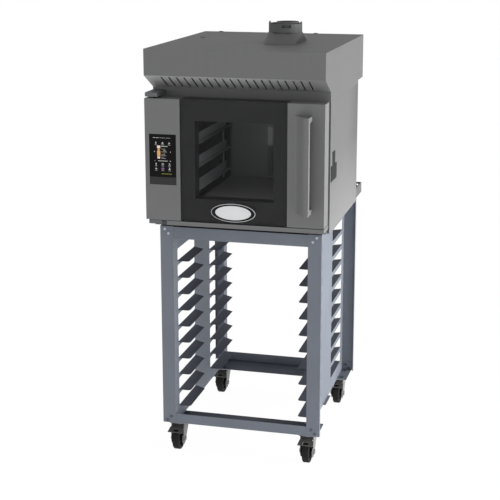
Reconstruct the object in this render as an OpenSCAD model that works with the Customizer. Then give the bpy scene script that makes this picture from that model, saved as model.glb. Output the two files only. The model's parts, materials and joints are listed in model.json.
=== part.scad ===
// Convection oven with a condensing hood on top, standing on a rack stand with four swivel casters.
// Front is -Y, +X is to the right seen from the front, +Z is up. The floor is at Z = 0 and the
// origin is below the middle of the whole object.

/* [Oven body] */
// Width of the oven, its door and its hood
oven_w = 600; // [590:1:640]
// Depth of the body from its front edge to its back
oven_d = 517; // [510:1:560]
// Thickness of the casing sheets
case_t = 1.2; // [0.8:0.1:1.6]
// Distance from the door's front face back to the body's front edge
body_set = 95; // [92:1:105]
// Height of the rubber feet
foot_h = 3; // [2:0.5:8]
// Radius of the rubber feet
foot_r = 16; // [10:1:19]

/* [Cavity] */
// Width of the cavity between its walls
cavity_w = 356; // [350:1:362]
// Height of the cavity
cavity_h = 306; // [304:1:312]
// Depth of the cavity from the front frame to its back wall
cavity_d = 478; // [470:1:484]
// Height of the cavity's floor above the body's underside
cavity_rise = 85; // [80:1:88]
// Height of the body above the cavity
cavity_cover = 42; // [39:1:48]
// Thickness of the chamber and rack sheets
chamber_t = 1; // [0.8:0.1:1.4]
// Depth of the fan box beside the cavity
fan_box_d = 54; // [52:1:58]
// Height of the lowest tray rail above the cavity's floor
rail_rise = 28; // [20:1:36]
// Distance between tray rails
rail_pitch = 80; // [70:1:84]
// Number of tray rails on each side
rail_count = 3; // [2:1:3]

/* [Door] */
// Thickness of the door
door_t = 63; // [58:1:66]
// Gap between the door's back and the front frame, which the gasket fills
door_gap = 5; // [4:0.5:7]
// Height of the door's underside above the body's underside
door_rise = 36.7; // [34:0.1:40]
// Height of the door's top edge above the body's top
door_lap = 6.7; // [5:0.1:9]
// Width of the steel column on the hinge side
left_column_w = 120; // [116:1:124]
// Width of the steel column on the handle side
right_column_w = 122; // [118:1:126]
// Thickness of the outer glass
glass_t = 5; // [4:0.5:6]
// Width of the black border round the clear window
border_w = 49; // [44:1:54]
// Height of the black border above and below the clear window
border_h = 73; // [68:1:78]
// How far the handle stands out from the door
handle_out = 57; // [50:1:62]
// Height of the handle
handle_h = 316; // [300:1:330]
// Thickness of the handle's sheet
handle_t = 2.5; // [2:0.1:3.5]
// Radius of the hinge pins
hinge_pin_r = 6; // [5:0.25:7]

/* [Hood] */
// Height of the hood
hood_h = 167; // [160:1:180]
// Height of the hood's front face
hood_face_h = 86; // [80:1:95]
// Depth of the hood from the door's front plane to its back
hood_d = 709; // [690:1:740]
// Depth of the slanted underside behind the front face
undercut_d = 91; // [88:1:91]
// Height of the slanted underside
undercut_h = 47; // [42:1:50]
// Number of steam slots in the slanted underside
slot_count = 20; // [10:1:24]
// Width of a steam slot
slot_w = 5.4; // [3:0.2:6]
// Radius of the exhaust duct
duct_r = 37.5; // [34:0.5:39]
// Width of the flue collar's rectangular base
collar_base_w = 110; // [108:1:130]
// Depth of the flue collar's rectangular base
collar_base_d = 225; // [200:1:240]
// Radius of the flue collar's round neck
collar_r = 57; // [54:0.5:60]
// Height of the flue collar
collar_h = 64; // [50:1:80]

/* [Stand] */
// Width of the stand over its flanges
stand_w = 557; // [550:1:565]
// Depth of the stand
stand_d = 675; // [670:1:700]
// Height of the stand's frame
stand_h = 708; // [700:1:760]
// Thickness of the stand's sheet
stand_t = 1.5; // [1.2:0.1:2]
// Distance between the outer faces of the two side webs
web_gap = 468; // [464:1:472]
// Number of tray slides in a column
slide_count = 10; // [4:1:10]
// Distance between tray slides
slide_pitch = 58.5; // [54:0.5:59]
// Width of a tray slide
slide_w = 40.5; // [30:0.5:42]
// Length of the window that a tray slide leaves
window_l = 200; // [180:1:210]
// Height of the front and rear rails' faces at the top
top_rail_h = 41; // [36:1:44]
// Height of the front and rear rails' faces at the bottom
bottom_rail_h = 34; // [30:1:38]
// Depth of the bottom rails' flanges, which carry the casters
bottom_flange_d = 115; // [108:1:130]

/* [Casters] */
// Diameter of the wheels
wheel_d = 80; // [76:1:82]
// Width of the tyres
wheel_w = 25; // [20:1:28]
// Height of the casters under the frame
caster_h = 106; // [105:1:112]
// Distance from the swivel axis to the wheel's axle
trail = 26; // [24:1:30]

/* [Hidden] */
$fn = 48;

// Clearances
seat_gap = 0.3;
running_gap = 0.05;
hole_gap = 0.2;
cut = 1;

// Depth positions, from the front of the handle to the back of the stand
stand_set = 77;
bolt_head_h = 2;
total_d = handle_out + stand_set + stand_d + bolt_head_h;
door_y = handle_out - total_d / 2;
door_back_y = door_y + door_t;
frame_y = door_back_y + door_gap;
body_y = [door_y + body_set, door_y + body_set + oven_d];
stand_y = [door_y + stand_set, door_y + stand_set + stand_d];
stand_mid_y = (stand_y[0] + stand_y[1]) / 2;

// Height positions, from the floor up
oven_h = cavity_rise + cavity_h + cavity_cover;
door_h = oven_h - door_rise + door_lap;
frame_z = [caster_h, caster_h + stand_h];
body_z = [frame_z[1] + foot_h, frame_z[1] + foot_h + oven_h];
hood_z = [body_z[1], body_z[1] + hood_h];
door_z = [body_z[0] + door_rise, body_z[0] + door_rise + door_h];
half_w = oven_w / 2;

// Front frame and cavity
frame_t = 2;
collar_t = 1.5;
frame_inset = 8;
frame_rise = 3;
frame_x = half_w - frame_inset;
front_frame_z = [body_z[0] + frame_rise, body_z[1] - frame_rise];
cavity_x = cavity_w / 2;
cavity_y = [frame_y + frame_t, frame_y + frame_t + cavity_d];
cavity_z = [body_z[0] + cavity_rise, body_z[0] + cavity_rise + cavity_h];
return_w = 14;
pan_h = 20;

// Fan box, impeller and heater
fan_y = (cavity_y[0] + cavity_y[1]) / 2;
fan_z = (cavity_z[0] + cavity_z[1]) / 2;
guard_edge = 13;
fan_box_l = 400;
fan_box_h = cavity_h - 2 * guard_edge;
guard_t = 1.2;
guard_lap = 6;
fan_r = 95;
fan_gap = 8;
blade_count = 24;
disc_t = 1.5;
shaft_r = 6;
shaft_hole_r = 8;
hub_r = 15;
motor_r = 44;
motor_flange_r = 50;
motor_flange_t = 4;
motor_end_t = 5;
motor_set = 2.8;
heater_r = 112;
heater_tube_r = 4;
heater_leg_r = 3;
heater_leg_turn = 35;
fan_box_x = -(cavity_x + fan_box_d);
fan_wall_x = fan_box_x - chamber_t;
fan_x = [fan_box_x + fan_gap, -cavity_x - fan_gap];
motor_x = [-half_w + case_t + motor_set, fan_wall_x];
heater_in = 18;
heater_pitch = 14;
heater_x = [fan_box_x + heater_in, fan_box_x + heater_in + heater_pitch];
terminal_l = 6;

// Insulation blanket
blanket_side = 45;
blanket_fan = 24;
blanket_top = 28;
blanket_bottom = 35;
blanket_back = 24;

// Tray racks in the cavity
rack_x = cavity_x - guard_t;
upright_t = 2;
upright_w = 16;
upright_inset = 30;
shelf_w = 20;
peg_r = 4;
rack_rail_h = 29;
rack_y = [cavity_y[0] + 12, cavity_y[1] - 8];
upright_y = [rack_y[0] + upright_inset, rack_y[1] - upright_inset];

// Door hinge, on the left
hinge_x = -half_w + 16;
hinge_y = door_y + 24;
hinge_set = 2;
hinge_t = 13.5;
hinge_gap = 5.3;
hinge_low_gap = 1.2;
hinge_top_w = [-half_w + 2, -half_w + 44];
hinge_low_w = [-half_w + 9, -half_w + 52];
bush_r = hinge_pin_r + 3;
bush_h = 12;
pin_l = 10.5;
hinge_top_z = door_z[1] + hinge_gap;
hinge_low_z = door_z[0] - hinge_low_gap;

// Door columns, glass and control panel
wall_t = 1.5;
left_x = -half_w + left_column_w;
right_x = half_w - right_column_w;
window_x = [left_x + border_w, right_x - border_w + 4];
window_z = [door_z[0] + border_h + 4, door_z[1] - border_h + 4];
inner_glass_t = 4;
inner_glass_set = 7;
inner_glass_lap = 9;
panel_set = 14.5;
panel_w = 92;
panel_rise = 146;
panel_h = 141;
panel_x = [-half_w + panel_set, -half_w + panel_set + panel_w];
panel_z = [door_z[0] + panel_rise, door_z[0] + panel_rise + panel_h];
flap_h = 27;
panel_t = 4;
pocket_wall = 4;
flap_pocket_d = 12;
flap_pin_r = 1.5;
flap_pivot_y = door_y + 2.5;
flap_pivot_z = panel_z[0] - 3;
flap_gap = 0.4;
flap_round_r = 2.5;

// Handle, beside the right column's outer edge
handle_x = half_w - 41;
handle_root = 59;
handle_ridge = 7;
handle_lip = 29;
handle_end_h = 16;
handle_top = door_z[1] - 38;
handle_z = [handle_top - handle_h, handle_top];
handle_steps = 12;

// Badge
badge_w = 149;
badge_h = 61;
badge_t = 2;
badge_z = door_z[0] + 37;
badge_x = (left_x + right_x) / 2;

// Drip tray under the door
tray_x = [-half_w + 71, half_w];
tray_z = [door_z[0] - 16, door_z[0] - 1.7];

// Brackets
bracket_t = 1.5;
side_block_y = [door_y + 104, door_y + 202];
side_stem_y = [door_y + 131, door_y + 173];
side_block_z = [body_z[0] + 169, body_z[0] + 221];
side_stem_top = body_z[0] + 265;
rear_bracket_l = 117;
rear_bracket_z = [body_z[0] + 10, body_z[0] + 47];
rear_bracket_w = 30;
rear_hole_r = 3.5;
rear_hole_gap = 18;

// Cable gland in the back
gland_inset = 100;
gland_x = half_w - gland_inset;
gland_rise = 55;
gland_z = body_z[0] + gland_rise;
gland_r = 13;
gland_neck_r = 10;
gland_bore_r = 7;
gland_l = 20;
gland_inside = 8;
gland_nut_r = 16;
gland_nut = [6, 14];

// Power board in the right bay
board_inset = 60;
board_l = 280;
board_rise = 90;
board_h = 250;
board_y = [body_y[0] + board_inset, body_y[0] + board_inset + board_l];
board_z = [body_z[0] + board_rise, body_z[0] + board_rise + board_h];
board_set = 12;
board_t = 1.6;
post_r = 4;
post_inset = 10;
relay = [16, 28, 28];
relay_at = [20, 30];
relay_count = 5;
relay_pitch = 50;
capacitor_r = 12;
capacitor_h = 24;
capacitor_at = [50, 120];
capacitor_count = 3;
capacitor_pitch = 60;

// Hood
apron_y = door_y + undercut_d;
hood_y = [door_y, door_y + hood_d];
face_z = hood_z[1] - hood_face_h;
apron_z = face_z - undercut_h;
tail_rise = 12;
weld_gap = 0.1;
undercut_angle = atan2(undercut_h, undercut_d);
undercut_l = norm([undercut_d, undercut_h]);
slot_l = 81;
slot_span = 488;
flue_x = 92;
flue_set = 343;
flue_y = door_y + flue_set;
flue_wall = 1.5;
neck_h = 29;
neck_ledge = 0.8;
collar_corner_r = 26;
duct_set = 8;
duct_x = flue_x + duct_set;
ear_h = 6;
ear_rise = 20;
ear_x = [collar_r - 4, collar_r - 0.5];
ear_l = 12;
flue_slot_x = [flue_x - 1, flue_x + 30];
flue_slot_z = [hood_z[1] + collar_h - 13, hood_z[1] + collar_h - 2];
duct_z = [hood_z[1] - case_t, hood_z[1] + collar_h + ear_h];
duct_t = 1.2;
filter_y = [apron_y + 19, apron_y + 29];
filter_groove_w = 6;
filter_groove_d = 3.4;
filter_pitch = 14;
filter_edge = 15;
blower_r = 62;
blower_h = 60;
blower_box = 180;
blower_box_z = [hood_z[0] + 46, hood_z[1] - case_t];
blower_z = blower_box_z[0] + 14;
blower_inlet_r = 50;
blower_inlet_hole_r = 12;
blower_shaft_r = 5;
blower_shaft_l = 20;
blower_hub_r = 12;
blower_motor_r = 30;
blower_motor_h = 34;
blower_motor_bore_l = 24;

// Stand
web_x = web_gap / 2;
web_in = web_x - stand_t;
window_h = 42;
window_r = 7;
window_inset = 44;
slide_z0 = frame_z[0] + 50;
slide_slant = 24;
slide_round = 10;
lip_w = 12;
foot_set = 8;
hem_w = 10;
hem_l = 95;
rail_end = stand_w / 2 - stand_t - seat_gap;
top_flange_d = 40;
stand_half_d = stand_d / 2;
bolt_in = [15, 28];
bolt_top = [25, 10];
bolt_low = [23, 8.5];
bolt_r = 2.9;
bolt_head_r = 4.6;
nut_h = 4;
screw_r = 8;
screw_h = 2.4;
screw_places = [[-235, 14], [125, 14], [-235, 255]];

// Casters
caster_x = web_x - 2;
caster_y = stand_half_d - 54;
plate_t = 3;
plate_w = 60;
plate_l = 98;
plate_hole = [20, 39];
plate_bolt_r = 4;
plate_head_r = 7;
plate_head_h = 3.5;
cup_r = 24;
cup_h = 5;
kingpin_r = 5;
crown_t = 3;
crown_z = [frame_z[0] - plate_t - cup_h - seat_gap - crown_t, frame_z[0] - plate_t - cup_h - seat_gap];
crown_r = 24;
crown_front = -34;
axle_z = wheel_d / 2;
axle_r = 5;
axle_head_r = 8;
axle_head_h = 3;
fork_in = 21.5;
fork_out = 24;
leg_r = 12;
leg_back = [14, axle_z + 38];
leg_front = [-40, axle_z + 26];
leg_top = [crown_front, 16];
rim_r = wheel_d / 2 - 10;
rim_t = 4;
rim_set = 2;
hub_web_t = 10;
tyre_chamfer = 3;
hub_boss_r = 12;
pedal_y = -30;
pedal_z = crown_z[0] - 6.7;
pedal_pin_r = 2.5;
pedal_barrel_r = 4.5;
pedal_t = 2.5;
pedal_l = 41;
pedal_neck = 13;
pedal_w = [48, 54];
pedal_rise = 2;
pedal_root = 3;
pedal_neck_w = 40;
pedal_slope = 20;
pedal_slot_w = 20;
pedal_slot = [-38, -24];

// A box between two corners, given as its low and high value along each axis
module span(x, y, z) {
    translate([x[0], y[0], z[0]])
        cube([x[1] - x[0], y[1] - y[0], z[1] - z[0]]);
}

// Sketches raised along one axis: (Y, Z) along X, (X, Z) along Y and (X, Y) along Z
module along_x(x) {
    translate([x[0], 0, 0])
        rotate([90, 0, 90])
            linear_extrude(x[1] - x[0])
                children();
}

module along_y(y) {
    translate([0, y[1], 0])
        rotate([90, 0, 0])
            linear_extrude(y[1] - y[0])
                children();
}

module along_z(z) {
    translate([0, 0, z[0]])
        linear_extrude(z[1] - z[0])
            children();
}

module rod_x(x, r, y, z) {
    translate([x[0], y, z])
        rotate([0, 90, 0])
            cylinder(r = r, h = x[1] - x[0]);
}

module rod_y(y, r, x, z) {
    translate([x, y[1], z])
        rotate([90, 0, 0])
            cylinder(r = r, h = y[1] - y[0]);
}

module rod_z(z, r, x, y) {
    translate([x, y, z[0]])
        cylinder(r = r, h = z[1] - z[0]);
}

// A flat rectangle from its low and high values, and one with round corners about its middle
module rect(x, y) {
    translate([x[0], y[0]])
        square([x[1] - x[0], y[1] - y[0]]);
}

module rounded_rect(w, h, r) {
    square([w - 2 * r, h], center = true);
    square([w, h - 2 * r], center = true);
    for (x = [-1, 1], y = [-1, 1])
        translate([x * (w / 2 - r), y * (h / 2 - r)])
            circle(r);
}

// Draws what is described for the right side, on the left when side is -1
module on_side(side) {
    mirror([side < 0 ? 1 : 0, 0, 0])
        children();
}

// Draws what is described for the stand's front end, at its rear end when end is 1
module at_stand_end(end) {
    translate([0, stand_mid_y, 0])
        mirror([0, end > 0 ? 1 : 0, 0])
            children();
}

// Stand

function slide_z(i) = slide_z0 + i * slide_pitch;

function window_y(column) = column == 0
    ? stand_y[0] + window_inset
    : stand_y[1] - window_inset - window_l;

// One folded side sheet: a web with windows, flanges at its ends and top, and three short ones at its foot
module stand_side() {
    difference() {
        union() {
            along_x([web_in, web_x])
                difference() {
                    rect(stand_y, frame_z);
                    for (column = [0, 1], i = [0 : slide_count - 1])
                        translate([window_y(column) + window_l / 2, slide_z(i) + window_h / 2])
                            rounded_rect(window_l, window_h, window_r);
                }
            for (y = [stand_y[0], stand_y[1] - stand_t])
                span([web_in, stand_w / 2], [y, y + stand_t], frame_z);
            span([web_in, stand_w / 2], stand_y, [frame_z[1] - stand_t, frame_z[1]]);
            for (y = [stand_y[0], stand_y[1] - bottom_flange_d])
                span([web_in, stand_w / 2 - foot_set], [y, y + bottom_flange_d],
                    [frame_z[0], frame_z[0] + stand_t]);
            span([web_in, web_x + hem_w], [stand_mid_y - hem_l / 2, stand_mid_y + hem_l / 2],
                [frame_z[0], frame_z[0] + stand_t]);
            for (y = [stand_y[0], stand_y[1] - lip_w])
                span([stand_w / 2 - stand_t, stand_w / 2], [y, y + lip_w], frame_z);
        }
        for (end = [-1, 1])
            at_stand_end(end) {
                for (z = [rail_z(0), rail_z(1)])
                    span([web_in - cut, web_x + hole_gap],
                        [-stand_half_d + stand_t, -stand_half_d + 2 * stand_t + seat_gap],
                        [z[0] - seat_gap, z[1] + seat_gap]);
                corner_bolt_places()
                    rod_y([-cut, stand_t + cut], bolt_r + hole_gap, 0, 0);
                translate([caster_x, -caster_y, 0])
                    for (y = [-1, 1])
                        rod_z([frame_z[0] - cut, frame_z[0] + stand_t + cut],
                            plate_bolt_r + hole_gap, plate_hole[0], y * plate_hole[1]);
            }
    }
}

// Height range of a rail's face where it lies behind the side flange: 0 is the bottom, 1 the top
function rail_z(level) = level == 0
    ? [frame_z[0] + stand_t + seat_gap, frame_z[0] + bottom_rail_h]
    : [frame_z[1] - stand_t - seat_gap - top_rail_h, frame_z[1] - stand_t - seat_gap];

// The right-hand corner bolts of one end, with the flange's outer face at Y = 0
module corner_bolt_places() {
    for (k = [0, 1], level = [0, 1])
        translate([web_x + bolt_in[k], -stand_half_d,
            level == 0 ? frame_z[0] + bolt_low[k] : frame_z[1] - bolt_top[k]])
            children();
}

module stand_side_left() {
    color("#767c88")
        on_side(-1)
            stand_side();
}

module stand_side_right() {
    color("#767c88")
        stand_side();
}

// Tray slides: the tabs bent inwards at the foot of each window
module tray_slides() {
    color("#565a66")
        for (side = [-1, 1], column = [0, 1], i = [0 : slide_count - 1])
            on_side(side)
                along_z([slide_z(i) - stand_t, slide_z(i)])
                    slide_outline(window_y(column) + seat_gap, window_y(column) + window_l - seat_gap);
}

module slide_outline(y0, y1) {
    tip = web_in - slide_w;
    polygon([[web_in, y0], [web_in, y1], [tip, y1 - slide_slant], [tip, y0 + slide_round],
        [tip + slide_round, y0]]);
    translate([tip + slide_round, y0 + slide_round])
        circle(slide_round);
}

// A bottom rail: a face behind the side flanges and a deep flange that carries the casters
module bottom_rail() {
    inner = web_in - seat_gap;
    face_y = [-stand_half_d + stand_t, -stand_half_d + 2 * stand_t];
    difference() {
        union() {
            span([-inner, inner], face_y, [frame_z[0], frame_z[0] + bottom_rail_h]);
            span([-rail_end, rail_end], face_y, rail_z(0));
            span([-inner, inner], [face_y[0], -stand_half_d + bottom_flange_d],
                [frame_z[0], frame_z[0] + stand_t]);
        }
        for (side = [-1, 1])
            on_side(side) {
                translate([0, stand_t, 0])
                    corner_bolt_places()
                        rod_y([-cut, stand_t + cut], bolt_r + hole_gap, 0, 0);
                for (y = [-1, 1])
                    rod_z([frame_z[0] - cut, frame_z[0] + stand_t + cut], plate_bolt_r + hole_gap,
                        caster_x - plate_hole[0], -caster_y + y * plate_hole[1]);
            }
    }
}

module top_rail() {
    inner = web_in - seat_gap;
    face_y = [-stand_half_d + stand_t, -stand_half_d + 2 * stand_t];
    difference() {
        union() {
            span([-rail_end, rail_end], face_y, rail_z(1));
            span([-inner, inner], [face_y[0], face_y[0] + top_flange_d],
                [rail_z(1)[1] - stand_t, rail_z(1)[1]]);
        }
        for (side = [-1, 1])
            on_side(side)
                translate([0, stand_t, 0])
                    corner_bolt_places()
                        rod_y([-cut, stand_t + cut], bolt_r + hole_gap, 0, 0);
    }
}

module rail_front_top() {
    color("#767c88")
        at_stand_end(-1)
            top_rail();
}

module rail_front_bottom() {
    color("#767c88")
        at_stand_end(-1)
            bottom_rail();
}

module rails_rear() {
    color("#767c88")
        at_stand_end(1) {
            top_rail();
            bottom_rail();
        }
}

// Fasteners: corner bolts with nuts, caster bolts with nuts, and the screws on the hood's top
module corner_bolt() {
    rod_y([-bolt_head_h, 0], bolt_head_r, 0, 0);
    rod_y([-bolt_head_h, 2 * stand_t + nut_h + cut], bolt_r, 0, 0);
    translate([0, 2 * stand_t + nut_h, 0])
        rotate([90, 0, 0])
            cylinder(r = bolt_head_r, h = nut_h, $fn = 6);
}

module caster_bolt() {
    nut_z = frame_z[0] - plate_t - nut_h;
    rod_z([frame_z[0] + stand_t, frame_z[0] + stand_t + plate_head_h], plate_head_r, 0, 0);
    rod_z([nut_z, frame_z[0] + stand_t + cut], plate_bolt_r, 0, 0);
    translate([0, 0, nut_z])
        cylinder(r = plate_head_r, h = nut_h, $fn = 6);
}

module bolts_and_screws() {
    color("#8d9098") {
        for (side = [-1, 1], end = [-1, 1])
            on_side(side)
                at_stand_end(end) {
                    corner_bolt_places()
                        corner_bolt();
                    for (x = [-1, 1], y = [-1, 1])
                        translate([caster_x + x * plate_hole[0], -caster_y + y * plate_hole[1], 0])
                            caster_bolt();
                }
        for (place = screw_places)
            rod_z([hood_z[1], hood_z[1] + screw_h], screw_r, place[0], hood_y[1] - place[1]);
    }
}

// Casters

module caster_plates() {
    color("#9a9ca0")
        for (side = [-1, 1], end = [-1, 1])
            on_side(side)
                at_stand_end(end)
                    translate([caster_x, -caster_y, 0])
                        difference() {
                            union() {
                                along_z([frame_z[0] - plate_t, frame_z[0]])
                                    rounded_rect(plate_w, plate_l, window_r);
                                rod_z([frame_z[0] - plate_t - cup_h, frame_z[0] - plate_t], cup_r, 0, 0);
                            }
                            rod_z([frame_z[0] - plate_t - cup_h - cut, frame_z[0] + cut],
                                kingpin_r + running_gap, 0, 0);
                            for (x = [-1, 1], y = [-1, 1])
                                rod_z([frame_z[0] - plate_t - cut, frame_z[0] + cut],
                                    plate_bolt_r + hole_gap, x * plate_hole[0], y * plate_hole[1]);
                        }
}

// Puts a caster piece, drawn about its swivel axis with the wheel trailing to the front
module at_caster(side, end) {
    translate([side * caster_x, stand_mid_y + end * caster_y, 0])
        children();
}

module fork() {
    difference() {
        union() {
            along_z(crown_z) {
                circle(crown_r);
                rect([-fork_out, fork_out], [crown_front, 0]);
            }
            for (side = [-1, 1])
                on_side(side)
                    along_x([fork_in, fork_out]) {
                        polygon([[leg_top[1], crown_z[1]], [leg_top[0], crown_z[1]], leg_front,
                            [-trail - leg_r, axle_z], [-trail + leg_r, axle_z], leg_back]);
                        translate([-trail, axle_z])
                            circle(leg_r);
                    }
            rod_z([crown_z[0], frame_z[0] - seat_gap], kingpin_r, 0, 0);
            rod_x([-fork_out, fork_out], pedal_pin_r, pedal_y, pedal_z);
        }
        rod_x([-fork_out - cut, fork_out + cut], axle_r, -trail, axle_z);
    }
    for (x = [-fork_out - axle_head_h, fork_out])
        rod_x([x, x + axle_head_h], axle_head_r, -trail, axle_z);
    rod_x([-fork_out - axle_head_h, fork_out + axle_head_h], axle_r, -trail, axle_z);
}

module wheel() {
    half = wheel_w / 2;
    boss = fork_in - seat_gap;
    web = hub_web_t / 2;
    lip = half - rim_set;
    rim_in = rim_r - rim_t;
    translate([0, -trail, axle_z])
        rotate([0, 90, 0]) {
            rotate_extrude()
                polygon([[rim_r, -half], [wheel_d / 2 - tyre_chamfer, -half],
                    [wheel_d / 2, -half + tyre_chamfer], [wheel_d / 2, half - tyre_chamfer],
                    [wheel_d / 2 - tyre_chamfer, half], [rim_r, half]]);
            rotate_extrude()
                polygon([[axle_r + running_gap, -boss], [hub_boss_r, -boss], [hub_boss_r, -web],
                    [rim_in, -web], [rim_in, -lip], [rim_r, -lip], [rim_r, lip], [rim_in, lip],
                    [rim_in, web], [hub_boss_r, web], [hub_boss_r, boss],
                    [axle_r + running_gap, boss]]);
        }
}

// A brake pedal: a barrel on its pin, and a plate that slopes down over the wheel
module pedal() {
    barrel_l = 2 * (fork_in - seat_gap);
    translate([0, pedal_y, pedal_z])
        rotate([pedal_slope, 0, 0]) {
            difference() {
                rod_x([-barrel_l / 2, barrel_l / 2], pedal_barrel_r, 0, 0);
                rod_x([-barrel_l / 2 - cut, barrel_l / 2 + cut], pedal_pin_r + running_gap, 0, 0);
            }
            along_z([pedal_rise - pedal_t / 2, pedal_rise + pedal_t / 2])
                difference() {
                    union() {
                        rect([-pedal_neck_w / 2, pedal_neck_w / 2], [-pedal_neck - cut, -pedal_root]);
                        polygon([[-pedal_w[0] / 2, -pedal_neck], [pedal_w[0] / 2, -pedal_neck],
                            [pedal_w[1] / 2, -pedal_l], [-pedal_w[1] / 2, -pedal_l]]);
                    }
                    rect([-pedal_slot_w / 2, pedal_slot_w / 2], pedal_slot);
                }
        }
}

module fork_front_left() { color("#77787a") at_caster(-1, -1) fork(); }
module fork_front_right() { color("#77787a") at_caster(1, -1) fork(); }
module fork_rear_left() { color("#77787a") at_caster(-1, 1) fork(); }
module fork_rear_right() { color("#77787a") at_caster(1, 1) fork(); }
module wheel_front_left() { color("#222222") at_caster(-1, -1) wheel(); }
module wheel_front_right() { color("#222222") at_caster(1, -1) wheel(); }
module wheel_rear_left() { color("#222222") at_caster(-1, 1) wheel(); }
module wheel_rear_right() { color("#222222") at_caster(1, 1) wheel(); }
module pedal_front_left() { color("#4a4a48") at_caster(-1, -1) pedal(); }
module pedal_front_right() { color("#4a4a48") at_caster(1, -1) pedal(); }
module pedal_rear_left() { color("#4a4a48") at_caster(-1, 1) pedal(); }
module pedal_rear_right() { color("#4a4a48") at_caster(1, 1) pedal(); }

// Oven body

module base_pan() {
    x = half_w - case_t;
    color("#8a8a8a")
        difference() {
            span([-x, x], body_y, [body_z[0], body_z[0] + pan_h]);
            span([-x + case_t, x - case_t], [body_y[0] + case_t, body_y[1] - 2 * case_t],
                [body_z[0] + case_t, body_z[0] + pan_h + cut]);
            span([-x - cut, x + cut], [body_y[1] - case_t, body_y[1] + cut],
                [body_z[0] + case_t, body_z[0] + pan_h + cut]);
        }
}

module side_panel() {
    span([half_w - case_t, half_w], body_y, body_z);
    span([half_w - return_w, half_w], [body_y[0], body_y[0] + case_t],
        [body_z[0] + pan_h + seat_gap, body_z[1] - case_t - seat_gap]);
}

module side_panel_left() {
    color("#9d9d9d")
        on_side(-1)
            side_panel();
}

module side_panel_right() {
    color("#9d9d9d")
        side_panel();
}

module top_panel() {
    x = half_w - case_t;
    color("#8a8a8a")
        span([-x, x], body_y, [body_z[1] - case_t, body_z[1]]);
}

// Back sheet with rows of cooling louvres and the hole for the cable gland
module back_panel() {
    x = half_w - case_t;
    louvre_count = 8;
    louvre_pitch = 15;
    louvre_l = 90;
    louvre_h = 5;
    louvre_x = 180;
    louvre_rise = 238;
    color("#8a8a8a")
        along_y([body_y[1] - case_t, body_y[1]])
            difference() {
                rect([-x, x], [body_z[0] + case_t, body_z[1] - case_t]);
                for (side = [-1, 1], i = [0 : louvre_count - 1])
                    translate([side * louvre_x, body_z[0] + louvre_rise + i * louvre_pitch])
                        rounded_rect(louvre_l, louvre_h, louvre_h / 2 - hole_gap);
                translate([gland_x, gland_z])
                    circle(gland_neck_r);
            }
}

module front_frame() {
    color("#55585a") {
        along_y([frame_y, frame_y + frame_t])
            difference() {
                rect([-frame_x, frame_x], front_frame_z);
                rect([-cavity_x, cavity_x], cavity_z);
            }
        along_y([frame_y, body_y[0]])
            difference() {
                rect([-frame_x, frame_x], front_frame_z);
                rect([-frame_x + collar_t, frame_x - collar_t],
                    [front_frame_z[0] + collar_t, front_frame_z[1] - collar_t]);
            }
    }
}

// Welded chamber: the cavity, and the fan box that opens into its left wall
module chamber_space(wall) {
    span([-cavity_x - wall, cavity_x + wall], [cavity_y[0] - (wall > 0 ? 0 : cut), cavity_y[1] + wall],
        [cavity_z[0] - wall, cavity_z[1] + wall]);
    span([fan_box_x - wall, -cavity_x + (wall > 0 ? 0 : cut)],
        [fan_y - fan_box_l / 2 - wall, fan_y + fan_box_l / 2 + wall],
        [fan_z - fan_box_h / 2 - wall, fan_z + fan_box_h / 2 + wall]);
}

module heater_leg_places() {
    for (turn = [-heater_leg_turn, heater_leg_turn])
        translate([0, fan_y + heater_r * sin(turn), fan_z + heater_r * cos(turn)])
            children();
}

module chamber() {
    color("#a8aaac")
        difference() {
            chamber_space(chamber_t);
            chamber_space(0);
            rod_x([fan_wall_x - cut, fan_box_x + cut], shaft_hole_r, fan_y, fan_z);
            heater_leg_places()
                rod_x([fan_wall_x - cut, fan_box_x + cut], heater_leg_r + hole_gap, 0, 0);
        }
}

module insulation() {
    color("#e3dcc4")
        difference() {
            span([fan_wall_x - blanket_fan, cavity_x + chamber_t + blanket_side],
                [cavity_y[0], cavity_y[1] + chamber_t + blanket_back],
                [cavity_z[0] - chamber_t - blanket_bottom, cavity_z[1] + chamber_t + blanket_top]);
            chamber_space(chamber_t);
            span([-cavity_x, cavity_x], [cavity_y[0] - cut, cavity_y[0] + cut], cavity_z);
            rod_x([fan_wall_x - blanket_fan - cut, fan_wall_x + cut], motor_flange_r + cut, fan_y, fan_z);
            heater_leg_places()
                rod_x([fan_wall_x - blanket_fan - cut, fan_wall_x + cut], heater_leg_r + hole_gap, 0, 0);
        }
}

module door_gasket() {
    lip_in = 8;
    lip_out = 22;
    color("#2b2b2b")
        along_y([door_back_y + seat_gap, frame_y])
            translate([0, (cavity_z[0] + cavity_z[1]) / 2])
                difference() {
                    rounded_rect(cavity_w + 2 * lip_out, cavity_h + 2 * lip_out, lip_out);
                    rounded_rect(cavity_w + 2 * lip_in, cavity_h + 2 * lip_in, lip_in);
                }
}

// A tray rack: two uprights on pegs, and angle rails that carry the trays
module rack(peg_l) {
    rail_x = rack_x - upright_t;
    for (y = upright_y) {
        span([rail_x, rack_x], [y - upright_w / 2, y + upright_w / 2],
            [cavity_z[0] + seat_gap, cavity_z[0] + rail_rise + rail_count * rail_pitch]);
        if (peg_l > 0)
            for (z = [cavity_z[0] + rail_rise, cavity_z[0] + rail_rise + rail_pitch])
                rod_x([rack_x - cut, rack_x + peg_l], peg_r, y, z);
    }
    for (i = [0 : rail_count - 1]) {
        z = cavity_z[0] + rail_rise + i * rail_pitch;
        span([rail_x - chamber_t, rail_x], rack_y, [z, z + rack_rail_h]);
        span([rail_x - shelf_w, rail_x], rack_y, [z, z + chamber_t]);
    }
}

module rack_left() {
    color("#b4b6b8")
        on_side(-1)
            rack(0);
}

module rack_right() {
    color("#b4b6b8")
        rack(guard_t);
}

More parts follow.
